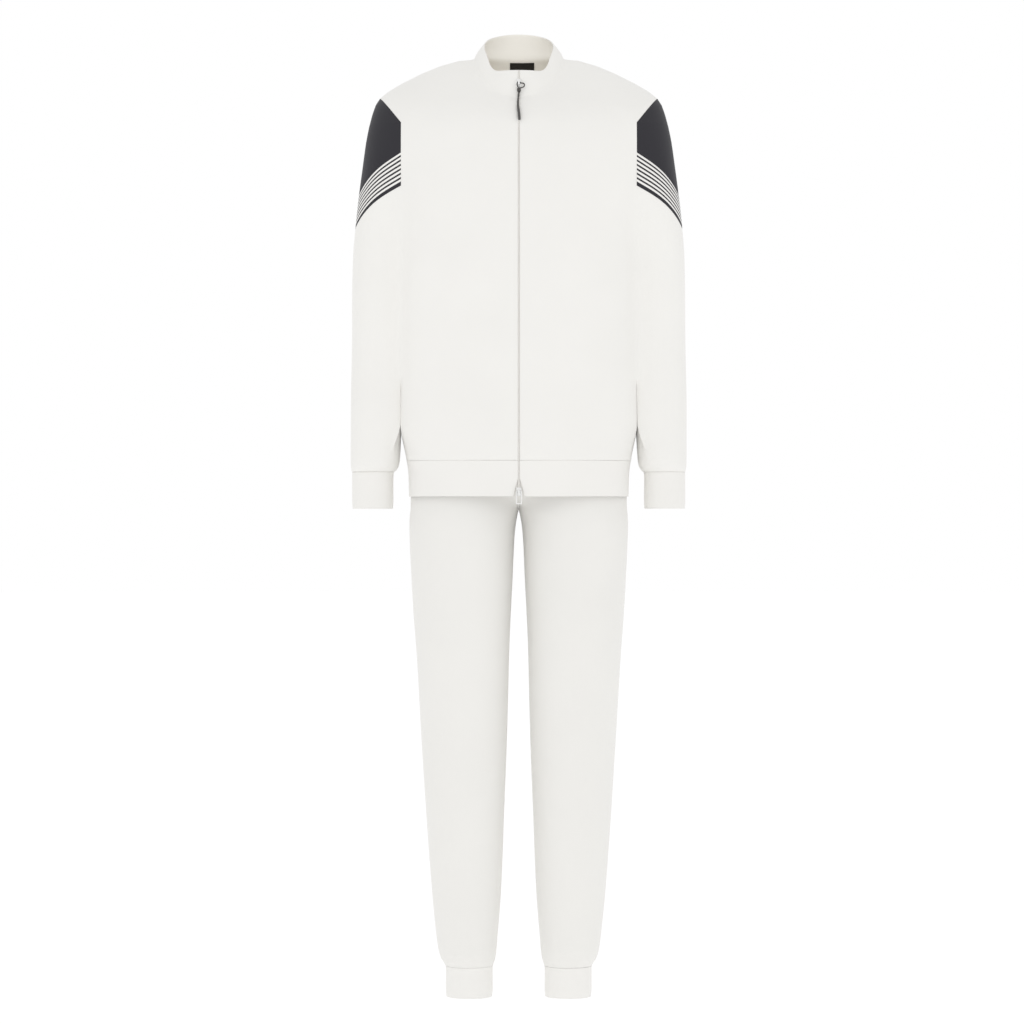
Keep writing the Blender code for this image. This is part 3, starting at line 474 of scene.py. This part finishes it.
def shoulderGrid(front, count=26, spacing=1.5):
    shares, tops, lows, ends = shoulderLines(front)
    steps = [(r / count) ** spacing for r in range(count + 1)]
    return [[shoulderPoint(s, end * step, front, top, low)
             for s, top, low, end in zip(shares, tops, lows, ends)] for step in steps]


def headGrid(count=8):
    rows = []
    for r in range(count + 1):
        sides = []
        for front in (True, False):
            shares, tops, lows, ends = shoulderLines(front)
            sides.append([shoulderPoint(shares[c], mix(ends[c], 1.0, r / count), front, tops[c],
                                        lows[c])
                          for c in range(cloth["panelColumns"], len(shares))])
        rows.append(sides[0] + sides[1][-2::-1])
    return rows


def collarTop(turn):
    lean = -math.cos(turn * math.pi / 2)
    return Vector((collar["side"] * math.sin(turn * math.pi / 2),
                   collar["midY"] + collar["depth"] * lean, readTable(collarRim, lean)["top"]))


def collarGrid(front, count=14):
    rows = []
    for share in evenShares(count):
        row = []
        for turn in neckTurns(front, capeShares()):
            low, high = neckPoint(turn), collarTop(turn)
            high.x = max(high.x, jacket["edgeX"]) if front else high.x
            outward = Vector((low.x, low.y, 0.0)).normalized()
            bulge = outward * collar["bulge"] * math.sin(math.pi * share)
            row.append(low.lerp(high, share) + bulge)
        rows.append(row)
    return rows


# Materials
def newMaterial(name, colour, roughness):
    paint = bpy.data.materials.new(name)
    paint.use_nodes = True
    shader = paint.node_tree.nodes["Principled BSDF"]
    shader.inputs["Base Color"].default_value = (*colour, 1.0)
    shader.inputs["Roughness"].default_value = roughness
    return paint, shader


def addMath(tree, kind, first, second):
    node = tree.nodes.new("ShaderNodeMath")
    node.operation = kind
    for socket, value in zip(node.inputs, (first, second)):
        if isinstance(value, (int, float)):
            socket.default_value = value
        elif value is not None:
            tree.links.new(value, socket)
    return node.outputs[0]


def knitCloth(name, colour, wale=0.0011, course=0.0009, depth=0.00012, sheen=0.25, mottle=0.02):
    look = dict(roughness=0.82, sheenRoughness=0.5, courseShare=0.5, bump=0.5, cloudScale=9.0,
                cloudDetail=3.0, darkAt=0.3, lightAt=0.7)
    paint, shader = newMaterial(name, colour, look["roughness"])
    tree = paint.node_tree
    shader.inputs["Sheen Weight"].default_value = sheen
    shader.inputs["Sheen Roughness"].default_value = look["sheenRoughness"]
    uv = tree.nodes.new("ShaderNodeUVMap")
    uv.uv_map = "UVMap"
    split = tree.nodes.new("ShaderNodeSeparateXYZ")
    tree.links.new(uv.outputs[0], split.inputs[0])
    across, along = (
        addMath(tree, "SINE", addMath(tree, "MULTIPLY", output, 2 * math.pi / pitch), None)
        for output, pitch in ((split.outputs[0], wale), (split.outputs[1], course)))
    lattice = addMath(tree, "ADD", across, addMath(tree, "MULTIPLY", along, look["courseShare"]))
    bump = tree.nodes.new("ShaderNodeBump")
    bump.inputs["Strength"].default_value = look["bump"]
    bump.inputs["Distance"].default_value = depth
    tree.links.new(lattice, bump.inputs["Height"])
    tree.links.new(bump.outputs[0], shader.inputs["Normal"])
    place = tree.nodes.new("ShaderNodeTexCoord")
    cloud = tree.nodes.new("ShaderNodeTexNoise")
    cloud.inputs["Scale"].default_value = look["cloudScale"]
    cloud.inputs["Detail"].default_value = look["cloudDetail"]
    tree.links.new(place.outputs["Object"], cloud.inputs["Vector"])
    ramp = tree.nodes.new("ShaderNodeValToRGB")
    ramp.color_ramp.elements[0].position = look["darkAt"]
    ramp.color_ramp.elements[0].color = (*[c * (1 - mottle) for c in colour], 1.0)
    ramp.color_ramp.elements[1].position = look["lightAt"]
    ramp.color_ramp.elements[1].color = (*colour, 1.0)
    tree.links.new(cloud.outputs[0], ramp.inputs[0])
    tree.links.new(ramp.outputs[0], shader.inputs["Base Color"])
    return paint


# Inside of the suit: the white knit with painted light, a warm glow that brightens the shaded
# inside of the collar and body
insideKnitPaintedLight = knitCloth("insideKnitPaintedLight", (0.885, 0.870, 0.830))
glow = insideKnitPaintedLight.node_tree.nodes["Principled BSDF"]
glow.inputs["Emission Color"].default_value = (1.0, 0.94, 0.82, 1.0)
glow.inputs["Emission Strength"].default_value = 0.14  # painted light: a warm glow that stands in for daylight coming through the thin cloth
whiteKnit = knitCloth("jacketKnit", (0.882, 0.872, 0.843))
legKnit = knitCloth("trouserKnit", (0.855, 0.845, 0.815))
blackKnit = knitCloth("blackKnit", (0.0205, 0.0195, 0.0255), sheen=0.05)
ribKnit = knitCloth("ribKnit", (0.880, 0.868, 0.838), wale=0.0026, course=0.0011, depth=0.0004)
tapeWeave = knitCloth("tapeWeave", (0.85, 0.835, 0.80), wale=0.0010, course=0.0006, sheen=0.1)
coilPlastic = newMaterial("coilPlastic", (0.90, 0.88, 0.84), 0.45)[0]
sliderPaint = newMaterial("sliderPaint", (0.84, 0.84, 0.83), 0.28)[0]
cordBraid = knitCloth("cordBraid", (0.095, 0.090, 0.086), wale=0.0012, course=0.0012, sheen=0.1)
labelSatin = newMaterial("labelSatin", (0.008, 0.007, 0.006), 0.5)[0]
print("materials made")


# Creases: soft troughs from a to b, repeated on the other side and on the back a little moved
mirrors = [
    dict(side=1, face=1, weight=1.0, lift=0.0),
    dict(side=-1, face=1, weight=0.8, lift=-0.006),
    dict(side=1, face=-1, weight=0.9, lift=-0.012),
    dict(side=-1, face=-1, weight=0.75, lift=0.005),
]
ripple = dict(scale=9.0, height=0.0006)
fade = dict(reach=3, span=0.8, start=0.1, low=0.04, high=0.96)


def spreadCreases(creases):
    spread = []
    for crease in creases:
        for mirror in mirrors:
            ends = [Vector((x * mirror["side"], y * mirror["face"], z + mirror["lift"]))
                    for x, y, z in (crease["a"], crease["b"])]
            spread.append((*ends, crease["width"], crease["depth"] * mirror["weight"]))
    return spread


def softShift(place, creases, grooves):
    shift = noise.noise(place * ripple["scale"]) * ripple["height"]
    for a, b, width, depth in creases:
        along = b - a
        t = (place - a).dot(along) / along.length_squared
        gap = (place - a - along * min(max(t, 0.0), 1.0)).length
        if gap < width * fade["reach"]:
            faded = min(max(t * fade["span"] + fade["start"], fade["low"]), fade["high"])
            shift += depth * math.sin(math.pi * faded) * math.exp(-(gap / width) ** 2)
    for groove in grooves:
        shift += groove["depth"] * math.exp(-((place.z - groove["z"]) / groove["width"]) ** 2)
    return shift


# Cloth: grids bent onto the rows and merged, softened where a seam turns, creased, given a wall
def flatSize(rows):
    width = max(lengthsOf(row)[-1] for row in rows)
    length = max(lengthsOf([row[i] for row in rows])[-1] for i in range(0, len(rows[0]), 4))
    return width, length


def bendGrid(mesh, rows, side, slots=None, soft=None, spare=None):
    columns, steps = len(rows[0]) - 1, len(rows) - 1
    width, length = flatSize(rows)
    uv = mesh.loops.layers.uv.verify()
    layer = mesh.verts.layers.int.get("soft") or mesh.verts.layers.int.new("soft")
    made = bmesh.ops.create_grid(mesh, x_segments=columns, y_segments=steps, size=1.0)
    place = {vert: (round((vert.co.x + 1) / 2 * columns), round((vert.co.y + 1) / 2 * steps))
             for vert in made["verts"]}
    faces = {face for vert in place for face in vert.link_faces}
    for face in faces:
        for loop in face.loops:
            i, j = place[loop.vert]
            loop[uv].uv = (i / columns * width * side, j / steps * length)
        if slots:
            face.material_index = slots[min(place[vert][1] for vert in face.verts)]
    for vert, (i, j) in place.items():
        vert[layer] = int(soft(i, j)) if soft else 0
        p = rows[j][i]
        vert.co = (p.x * side, p.y, p.z)
    if spare:
        corners = {face: [place[vert] for vert in face.verts] for face in faces}
        empty = [face for face in faces if spare(min(i for i, j in corners[face]),
                                                 max(j for i, j in corners[face]))]
        bmesh.ops.delete(mesh, geom=empty, context="FACES")
    return width, length


def toObject(name, mesh, paints):
    data = bpy.data.meshes.new(name)
    for face in mesh.faces:
        face.smooth = True
    mesh.to_mesh(data)
    mesh.free()
    piece = bpy.data.objects.new(name, data)
    bpy.context.scene.collection.objects.link(piece)
    for paint in paints:
        data.materials.append(paint)
    return piece


def addWall(piece, thickness):
    wall = piece.modifiers.new("wall", "SOLIDIFY")
    wall.thickness = thickness
    wall.offset = -1.0
    return wall


def addEdge(piece, width, segments=2, angle=60):
    edge = piece.modifiers.new("edge", "BEVEL")
    edge.width = width
    edge.segments = segments
    edge.limit_method = "ANGLE"
    edge.angle_limit = math.radians(angle)
    return edge


def turnFaces(mesh, away):
    # Turns an open sheet so that its faces look towards +Y when away is 1, and -Y when it is -1
    bmesh.ops.recalc_face_normals(mesh, faces=mesh.faces)
    if sum(face.normal.y for face in mesh.faces) * away < 0:
        bmesh.ops.reverse_faces(mesh, faces=mesh.faces)


def finishCloth(name, mesh, paints, nodes, flat, creases=(), grooves=(), wall=None):
    bmesh.ops.remove_doubles(mesh, verts=mesh.verts, dist=cloth["mergeGap"])
    bmesh.ops.recalc_face_normals(mesh, faces=mesh.faces)
    foremost = min(mesh.faces, key=lambda face: face.calc_center_median().y)
    if foremost.normal.y > 0:
        bmesh.ops.reverse_faces(mesh, faces=mesh.faces)
    layer = mesh.verts.layers.int["soft"]
    for kind, rounds in cloth["softRounds"]:
        bends = [vert for vert in mesh.verts if vert[layer] >= kind and not vert.is_boundary]
        for step in range(rounds):
            bmesh.ops.smooth_vert(mesh, verts=bends, factor=0.5, use_axis_x=True, use_axis_y=True,
                                  use_axis_z=True)
    mesh.normal_update()
    spread = spreadCreases(creases)
    moves = {vert: vert.normal * softShift(vert.co, spread, grooves)
             for vert in mesh.verts if not vert.is_boundary}
    for vert, move in moves.items():
        vert.co += move
    area = sum(face.calc_area() for face in mesh.faces)
    piece = toObject(name, mesh, paints)
    addWall(piece, wall or cloth["wall"]).material_offset = 1 if insideKnitPaintedLight in paints else 0
    addEdge(piece, cloth["edge"])
    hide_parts(*nodes)
    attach(piece, body)
    width, length = flat
    width = max(width, area / length)


def makeBody():
    fold = dict(neckRows=6, valleyColumns=3, collarRows=3, yokeRows=8, chestRows=9)
    fine = dict(chest=0.0075, valley=0.0073, blouseZ=-0.600, blouse=0.0025)
    creases = [
        dict(a=(0.172, -0.085, -0.255), b=(0.105, -0.120, -0.300), width=0.016, depth=-0.0007),
        dict(a=(0.165, -0.080, -0.400), b=(0.120, -0.110, -0.440), width=0.018, depth=-0.0005),
        dict(a=(0.150, -0.095, -0.585), b=(0.146, -0.098, -0.622), width=0.006, depth=-0.0008),
        dict(a=(0.095, -0.110, -0.592), b=(0.097, -0.112, -0.622), width=0.006, depth=-0.0006),
        dict(a=(0.048, -0.114, -0.600), b=(0.046, -0.114, -0.622), width=0.005, depth=-0.0006),
        dict(a=(0.192, -0.060, -0.420), b=(0.252, -0.050, -0.452), width=0.010, depth=-0.0010),
        dict(a=(0.200, -0.058, -0.472), b=(0.250, -0.045, -0.462), width=0.009, depth=-0.0007),
        dict(a=(0.195, -0.050, -0.610), b=(0.250, -0.045, -0.622), width=0.007, depth=-0.0012),
        dict(a=(0.205, -0.052, -0.630), b=(0.240, -0.052, -0.627), width=0.005, depth=-0.0009),
    ]
    panel, head = cloth["panelColumns"], cloth["headColumns"]
    seam = fineHeights(jacket["bandEndZ"], touch["splitZ"], fine["valley"])
    heights = fineHeights(jacket["levelZ"], jacket["bandEndZ"], fine["chest"])[:-1] + seam
    heights += fineHeights(touch["splitZ"], jacket["hemSeamZ"] + cloth["seamGap"])[1:]
    arm = seam + fineHeights(touch["splitZ"], fine["blouseZ"])[1:]
    arm += fineHeights(fine["blouseZ"], jacket["cuffSeamZ"] + cloth["seamGap"], fine["blouse"])[1:]
    valley, armValley = heights.index(touch["splitZ"]), arm.index(touch["splitZ"])
    sleeve = [sleeveSplitRow(z) for z in arm]
    edge = touch["sideColumns"]
    mesh = bmesh.new()
    around, long = 0.0, 0.0
    for front in (True, False):
        upper, stand = shoulderGrid(front), collarGrid(front)
        lower = [torsoSplitRow(z, front) for z in heights]
        for side in (1, -1):
            neckLong = bendGrid(mesh, upper, side, soft=lambda i, j: (
                1 if j <= fold["neckRows"] else
                2 * (j >= len(upper) - 1 - fold["yokeRows"] and i < panel)))[1]
            standLong = bendGrid(mesh, stand, side, soft=lambda i, j: j <= fold["collarRows"])[1]
            wide, torsoLong = bendGrid(mesh, lower, side, soft=lambda i, j: (
                2 if j <= fold["chestRows"] and i < panel else
                panel - fold["valleyColumns"] <= i <= panel and j < valley),
                spare=lambda i, j: i >= panel and j <= valley)
            around += wide
        long = max(long, neckLong + standLong + torsoLong)
    for side in (1, -1):
        around += bendGrid(mesh, sleeve, side, soft=lambda i, j: (
            edge <= min(i, 2 * (head + edge) - i) <= edge + fold["valleyColumns"]
            and j < armValley),
            spare=lambda i, j: (i < edge or i >= edge + 2 * head) and j <= armValley)[0]
    nodes = ["jacket_front_left", "jacket_front_right", "jacket_back", "collar", "sleeve_left",
             "sleeve_right"]
    finishCloth("jacketBody", mesh, [whiteKnit, insideKnitPaintedLight], nodes, (around, long),
                creases)


def bandGrooves(topZ, lowZ):
    # The stitched lines near a band's seam and near its fold
    return [dict(z=topZ, width=0.0012, depth=-0.0004), dict(z=lowZ, width=0.0008, depth=-0.0003)]


def makeHemBand():
    grooves = bandGrooves(-0.6285, -0.6775)
    heights = fineHeights(jacket["hemSeamZ"] - cloth["seamGap"], jacket["hemEndZ"],
                          cloth["bandStep"])
    mesh = bmesh.new()
    around = 0.0
    for front in (True, False):
        rows = [torsoRow(z, front, evenShares(cloth["panelColumns"])) for z in heights]
        for side in (1, -1):
            wide, long = bendGrid(mesh, rows, side)
            around += wide
    finishCloth("hemBand", mesh, [ribKnit], ["hem_band"], (around, long),
                grooves=grooves, wall=cloth["bandWall"])


def makeShoulder(side, word):
    span, steps = jacket["levelZ"] - jacket["blackEndZ"], 9
    mesh = bmesh.new()
    capLong = bendGrid(mesh, headGrid(), side)[1]
    rows = [sleeveRow(jacket["levelZ"] - span * s, s) for s in evenShares(steps)]
    wide, long = bendGrid(mesh, rows, side)
    finishCloth("shoulderPanel_" + word, mesh, [blackKnit], ["shoulder_panel_" + word],
                (wide, capLong + long))


def makeStripes(side, word):
    stripe = dict(lightWidth=0.0036, darkWidth=0.0031, darkLines=6, rowsEach=2)
    widths = [(stripe["lightWidth"], 0), (stripe["darkWidth"], 1)] * stripe["darkLines"]
    widths.append((stripe["lightWidth"], 0))
    rest = jacket["blackEndZ"] - jacket["bandEndZ"] - sum(width for width, paint in widths)
    widths.append((rest, 1))
    heights = [jacket["blackEndZ"]]
    slots = []
    for width, paint in widths:
        top = heights[-1]
        heights += [top - width * (r + 1) / stripe["rowsEach"] for r in range(stripe["rowsEach"])]
        slots += [paint] * stripe["rowsEach"]
    mesh = bmesh.new()
    flat = bendGrid(mesh, [sleeveRow(z, 1.0) for z in heights], side, slots)
    finishCloth("stripeBand_" + word, mesh, [whiteKnit, blackKnit], ["stripe_band_" + word],
                flat)


def makeCuff(side, word):
    grooves = bandGrooves(-0.6452, -0.6965)
    heights = fineHeights(jacket["cuffSeamZ"] - cloth["seamGap"], jacket["cuffEndZ"],
                          cloth["bandStep"])
    mesh = bmesh.new()
    flat = bendGrid(mesh, [sleeveRow(z, 0.0) for z in heights], side)
    finishCloth("wristCuff_" + word, mesh, [ribKnit], ["wrist_cuff_" + word], flat,
                grooves=grooves, wall=cloth["bandWall"])


def makeLegs(side, word):
    creases = [
        dict(a=(0.020, -0.098, -0.715), b=(0.085, -0.092, -0.770), width=0.014, depth=-0.0009),
        dict(a=(0.015, -0.095, -0.730), b=(0.050, -0.092, -0.800), width=0.012, depth=-0.0006),
        dict(a=(0.040, -0.075, -1.010), b=(0.120, -0.070, -1.045), width=0.016, depth=-0.0009),
        dict(a=(0.050, -0.073, -1.085), b=(0.125, -0.062, -1.070), width=0.013, depth=-0.0007),
        dict(a=(0.050, -0.042, -1.372), b=(0.112, -0.036, -1.380), width=0.007, depth=-0.0012),
        dict(a=(0.042, -0.036, -1.398), b=(0.090, -0.040, -1.404), width=0.004, depth=-0.0010),
    ]
    fine = dict(hips=0.02, crotch=0.006, blouse=0.0022)
    count = cloth["legColumns"]
    heights = fineHeights(trousers["waistEndZ"], trousers["crotchTopZ"], fine["hips"])
    heights += fineHeights(trousers["crotchTopZ"], trousers["crotchZ"], fine["crotch"])[1:]
    heights += fineHeights(trousers["crotchZ"], trousers["blouseZ"])[1:]
    heights += fineHeights(trousers["blouseZ"], trousers["ankleSeamZ"] + cloth["seamGap"],
                           fine["blouse"])[1:]
    rows = [legRow(z, evenShares(count)) for z in heights]
    mesh = bmesh.new()
    wide, long = bendGrid(mesh, [row[:count + 1] for row in rows], side)
    wide += bendGrid(mesh, [row[count:] for row in rows], side)[0]
    finishCloth("leg_" + word, mesh, [legKnit], ["leg_front_" + word, "leg_back_" + word],
                (wide, long), creases)


def makeAnkle(side, word):
    grooves = bandGrooves(-1.4155, -1.4570)
    heights = fineHeights(trousers["ankleSeamZ"] - cloth["seamGap"], trousers["ankleEndZ"],
                          cloth["bandStep"])
    mesh = bmesh.new()
    flat = bendGrid(mesh, [legRow(z, evenShares(cloth["legColumns"])) for z in heights], side)
    finishCloth("ankleCuff_" + word, mesh, [ribKnit], ["ankle_cuff_" + word], flat,
                grooves=grooves, wall=cloth["bandWall"])


def makeWaistband():
    rowGap = 0.005
    heights = fineHeights(trousers["waistZ"], trousers["waistEndZ"], rowGap)
    rows = [legRow(z, evenShares(cloth["legColumns"])) for z in heights]
    mesh = bmesh.new()
    for side in (1, -1):
        wide, long = bendGrid(mesh, rows, side)
    finishCloth("waistBand", mesh, [ribKnit], ["waistband"], (2 * wide, long),
                wall=cloth["bandWall"])


makeBody()
makeHemBand()
makeWaistband()
for side, word in ((1, "left"), (-1, "right")):
    makeShoulder(side, word)
    makeStripes(side, word)
    makeCuff(side, word)
    makeLegs(side, word)
    makeAnkle(side, word)
print("cloth made")


# Zip: the centre line of the front from hem to collar, with its outward direction
def zipRows():
    rowGap = 0.008
    shares = evenShares(cloth["panelColumns"])
    heights = fineHeights(jacket["levelZ"], jacket["hemEndZ"], rowGap)
    rows = [torsoRow(z, True, shares) for z in heights[::-1]]
    rows += shoulderGrid(True)[-2::-1]
    rows += collarGrid(True)[1:]
    return rows


def centreFrames(rows):
    centres = [Vector((0.0, row[0].y, row[0].z)) for row in rows]
    frames = []
    for i, centre in enumerate(centres):
        up = (centres[min(i + 1, len(centres) - 1)] - centres[max(i - 1, 0)]).normalized()
        frames.append((centre, up, Vector((0.0, -up.z, up.y))))
    return frames


def onRow(row, x):
    i = next((i for i in range(1, len(row)) if row[i].x >= x), len(row) - 1)
    return row[i - 1].lerp(row[i], (x - row[i - 1].x) / (row[i].x - row[i - 1].x))


def centreAt(frames, z):
    i = next(i for i in range(1, len(frames)) if frames[i][0].z >= z)
    low, high = frames[i - 1][0], frames[i][0]
    up = (high - low).normalized()
    return low.lerp(high, (z - low.z) / (high.z - low.z)), up, Vector((0.0, -up.z, up.y))


def makeTape(rows, frames, side, word):
    tape = dict(innerX=0.00008, collarX=0.0085, bodyX=0.015, lay=0.0005, thick=0.0008, columns=4)
    bent = []
    for row, (centre, up, out) in zip(rows, frames):
        wide = tape["bodyX"] if centre.z < jacket["levelZ"] else tape["collarX"]
        near, far = (onRow(row, x) - out * (cloth["wall"] + tape["lay"])
                     for x in (tape["innerX"], wide))
        bent.append([near.lerp(far, share) for share in evenShares(tape["columns"])])
    mesh = bmesh.new()
    flat = bendGrid(mesh, bent, side)
    turnFaces(mesh, -1)
    area = sum(face.calc_area() for face in mesh.faces)
    piece = toObject("zipTape_" + word, mesh, [tapeWeave])
    addWall(piece, tape["thick"])
    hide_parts("zip_tape_" + word)
    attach(piece, body)


def makeCoil(frames):
    coil = dict(pitch=0.0012, half=0.00125, radius=0.00058, lean=0.2, sink=0.0002)
    lengths = lengthsOf([centre for centre, up, out in frames])
    mesh = bmesh.new()
    for n in range(int(lengths[-1] / coil["pitch"])):
        at = (n + 0.5) * coil["pitch"]
        i = next(i for i in range(1, len(lengths)) if lengths[i] >= at)
        t = (at - lengths[i - 1]) / (lengths[i] - lengths[i - 1])
        centre = frames[i - 1][0].lerp(frames[i][0], t)
        up, out = frames[i][1], frames[i][2]
        lean = coil["lean"] if n % 2 else -coil["lean"]
        across = (Vector((1, 0, 0)) + up * lean).normalized()
        turn = Matrix((out.cross(across), out, across)).transposed().to_4x4()
        spot = Matrix.Translation(centre - out * coil["sink"]) @ turn
        bmesh.ops.create_cone(mesh, cap_ends=True, segments=8, radius1=coil["radius"],
                              radius2=coil["radius"], depth=coil["half"] * 2, matrix=spot)
    piece = toObject("zipCoil", mesh, [coilPlastic])
    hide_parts("zip_chain")
    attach(piece, body)


def copyHard(node, name, owner, paint, width):
    # The solid's own mesh with its flat facets joined and its edges rounded
    hard = dict(mergeGap=0.00001, flatAngle=1, edgeAngle=25)
    source = bpy.data.objects[node]
    mesh = bmesh.new()
    mesh.from_mesh(source.data)
    mesh.transform(source.matrix_world)
    bmesh.ops.remove_doubles(mesh, verts=mesh.verts, dist=hard["mergeGap"])
    bmesh.ops.dissolve_limit(mesh, angle_limit=math.radians(hard["flatAngle"]), verts=mesh.verts,
                             edges=mesh.edges)
    bmesh.ops.recalc_face_normals(mesh, faces=mesh.faces)
    piece = toObject(name, mesh, [paint])
    addEdge(piece, width, segments=3, angle=hard["edgeAngle"]).harden_normals = True
    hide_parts(node)
    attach(piece, owner)


def makeCurve(name, points, radii, depth, paint):
    data = bpy.data.curves.new(name, "CURVE")
    data.dimensions = "3D"
    data.bevel_depth = depth
    data.bevel_resolution = 4
    data.use_fill_caps = True
    data.resolution_u = 8
    line = data.splines.new("BEZIER")
    line.bezier_points.add(len(points) - 1)
    for point, at, radius in zip(line.bezier_points, points, radii):
        point.co = at
        point.handle_left_type = point.handle_right_type = "AUTO"
        point.radius = radius
    piece = bpy.data.objects.new(name, data)
    bpy.context.scene.collection.objects.link(piece)
    data.materials.append(paint)
    return piece


def makePull(frames):
    pull = dict(z=-0.0465, radius=0.0009, slack=1.02, tailRadius=0.0021, tailLift=0.0009)
    knotted = dict(steps=30, turns=3.2, long=0.0062, slim=0.0013, swell=0.0010, lift=0.0002,
                   radius=0.0010)
    place, up, out = centreAt(frames, pull["z"])
    route = [(-0.0004, -0.0086, 0.0046), (-0.0016, -0.0064, 0.0044), (-0.0024, -0.0036, 0.0042),
             (-0.0024, -0.0006, 0.0041), (-0.0010, 0.0014, 0.0040), (0.0014, 0.0008, 0.0036),
             (0.0042, -0.0004, 0.0034), (0.0070, -0.0010, 0.0038), (0.0086, -0.0032, 0.0042),
             (0.0078, -0.0062, 0.0045), (0.0046, -0.0080, 0.0046), (0.0008, -0.0090, 0.0046)]
    points = [place + Vector((x, 0, 0)) + up * along + out * lift for x, along, lift in route]
    loop = makeCurve("pullLoop", points, [1.0] * len(points), pull["radius"], cordBraid)
    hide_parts("pull_cord")
    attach(loop, body)
    knotTop = (points[0] + points[-1]) / 2
    turns = []
    for share in evenShares(knotted["steps"]):
        angle = share * 2 * math.pi * knotted["turns"]
        swell = knotted["slim"] + knotted["swell"] * math.sin(math.pi * share)
        turns.append(knotTop - up * knotted["long"] * share
                     + Vector((math.cos(angle) * swell, 0, 0))
                     + out * (math.sin(angle) * swell + knotted["lift"]))
    knot = makeCurve("pullKnot", turns, [1.0] * len(turns), knotted["radius"], cordBraid)
    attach(knot, body)
    tail = [(0.0000, -0.0145, 0.62), (-0.0007, -0.0200, 0.62), (-0.0010, -0.0270, 0.66),
            (-0.0014, -0.0345, 0.80), (-0.0010, -0.0420, 0.94), (0.0000, -0.0500, 1.00),
            (0.0006, -0.0575, 1.00), (0.0008, -0.0608, 0.84)]
    points = []
    for x, along, radius in tail:
        spot, outward = centreAt(frames, pull["z"] + along * up.z)[::2]
        points.append(spot + Vector((x, 0, 0))
                      + outward * (pull["tailRadius"] * radius + pull["tailLift"]))
    hanging = makeCurve("pullTail", points, [radius for x, along, radius in tail],
                        pull["tailRadius"], cordBraid)
    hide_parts("pull_tail")
    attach(hanging, body)


def makeLabel():
    label = dict(half=0.0195, midX=0.0055, top=0.035, end=0.22, rows=10, columns=14, lay=0.0007,
                 thick=0.0007, edge=0.0002, turn=0.5, tip=0.3)
    shares, tops, lows = shoulderLines(False)[:3]
    rows = []
    for down in evenShares(label["rows"]):
        k = mix(label["top"], label["end"], down)
        line = [shoulderPoint(s, k, False, top, low) for s, top, low in zip(shares, tops, lows)]
        row = []
        for step in evenShares(label["columns"]):
            x = label["midX"] + label["half"] * (2 * step - 1)
            point = onRow(line[:cloth["panelColumns"]], abs(x))
            inward = Vector((-x * label["turn"], -neck["back"], -label["tip"] * neck["back"]))
            row.append(Vector((x, point.y, point.z))
                       + inward.normalized() * (cloth["wall"] + label["lay"]))
        rows.append(row)
    mesh = bmesh.new()
    flat = bendGrid(mesh, rows, 1)
    turnFaces(mesh, 1)
    area = sum(face.calc_area() for face in mesh.faces)
    piece = toObject("neckLabel", mesh, [labelSatin])
    addWall(piece, label["thick"])
    addEdge(piece, label["edge"])
    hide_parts("neck_label")
    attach(piece, body)


centreRows = zipRows()
centreLine = centreFrames(centreRows)
makeTape(centreRows, centreLine, 1, "left")
makeTape(centreRows, centreLine, -1, "right")
makeCoil(centreLine)
copyHard("top_slider", "topSlider", body, sliderPaint, 0.0004)
copyHard("bottom_slider", "bottomSlider", body, sliderPaint, 0.0004)
copyHard("bottom_pull_tab", "bottomTab", "pull_tab", sliderPaint, 0.0003)
makePull(centreLine)
makeLabel()
print("zip and label made")


# Stage, light and camera
def makeStage():
    ground = dict(radius=30.0, z=-1.530, glow=0.22)
    mesh = bmesh.new()
    bmesh.ops.create_circle(mesh, cap_ends=True, segments=96, radius=ground["radius"],
                            matrix=Matrix.Translation((0.0, 0.0, ground["z"])))
    paint, shader = newMaterial("studioWhite", (0.93, 0.93, 0.93), 0.9)
    shader.inputs["Specular IOR Level"].default_value = 0.0
    shader.inputs["Emission Color"].default_value = (1.0, 1.0, 1.0, 1.0)
    shader.inputs["Emission Strength"].default_value = ground["glow"]
    toObject("studioFloor", mesh, [paint])


def addLight(name, place, target, size, power):
    data = bpy.data.lights.new(name, "AREA")
    data.shape = "DISK"
    data.size = size
    data.energy = power
    lamp = bpy.data.objects.new(name, data)
    lamp.location = place
    lamp.rotation_euler = (Vector(target) - Vector(place)).to_track_quat("-Z", "Y").to_euler()
    bpy.context.scene.collection.objects.link(lamp)


def makeLights():
    # The air lights the suit softly, and what the camera sees behind the suit stays plain white
    air = dict(light=0.875, seen=1.0)
    world = bpy.data.worlds.new("studioAir")
    world.use_nodes = True
    tree = world.node_tree
    sky = tree.nodes["Background"]
    sky.inputs["Color"].default_value = (1.0, 1.0, 1.0, 1.0)
    path = tree.nodes.new("ShaderNodeLightPath")
    level = tree.nodes.new("ShaderNodeMapRange")
    level.inputs["To Min"].default_value = air["light"]
    level.inputs["To Max"].default_value = air["seen"]
    tree.links.new(path.outputs["Is Camera Ray"], level.inputs["Value"])
    tree.links.new(level.outputs["Result"], sky.inputs["Strength"])
    bpy.context.scene.world = world
    addLight("keyLight", place=(-1.2, -3.3, 2.4), target=(0.0, 0.0, -0.5), size=1.8, power=8.2)
    addLight("fillLight", place=(1.8, -4.0, 0.4), target=(0.0, 0.0, -0.6), size=1.8, power=4.6)


def makeCamera():
    view = dict(lens=119.9, sensor=36.0, away=5.32, x=-0.0105, z=-0.705)
    data = bpy.data.cameras.new("studioCamera")
    data.lens = view["lens"]
    data.sensor_width = view["sensor"]
    data.clip_end = 50.0
    camera = bpy.data.objects.new("studioCamera", data)
    camera.location = (view["x"], -view["away"], view["z"])
    camera.rotation_euler = (math.pi / 2, 0.0, 0.0)
    bpy.context.scene.collection.objects.link(camera)
    bpy.context.scene.camera = camera


makeStage()
makeLights()
makeCamera()
bpy.context.scene.view_settings.view_transform = "Standard"
bpy.context.scene.view_settings.look = "None"
print("stage made")
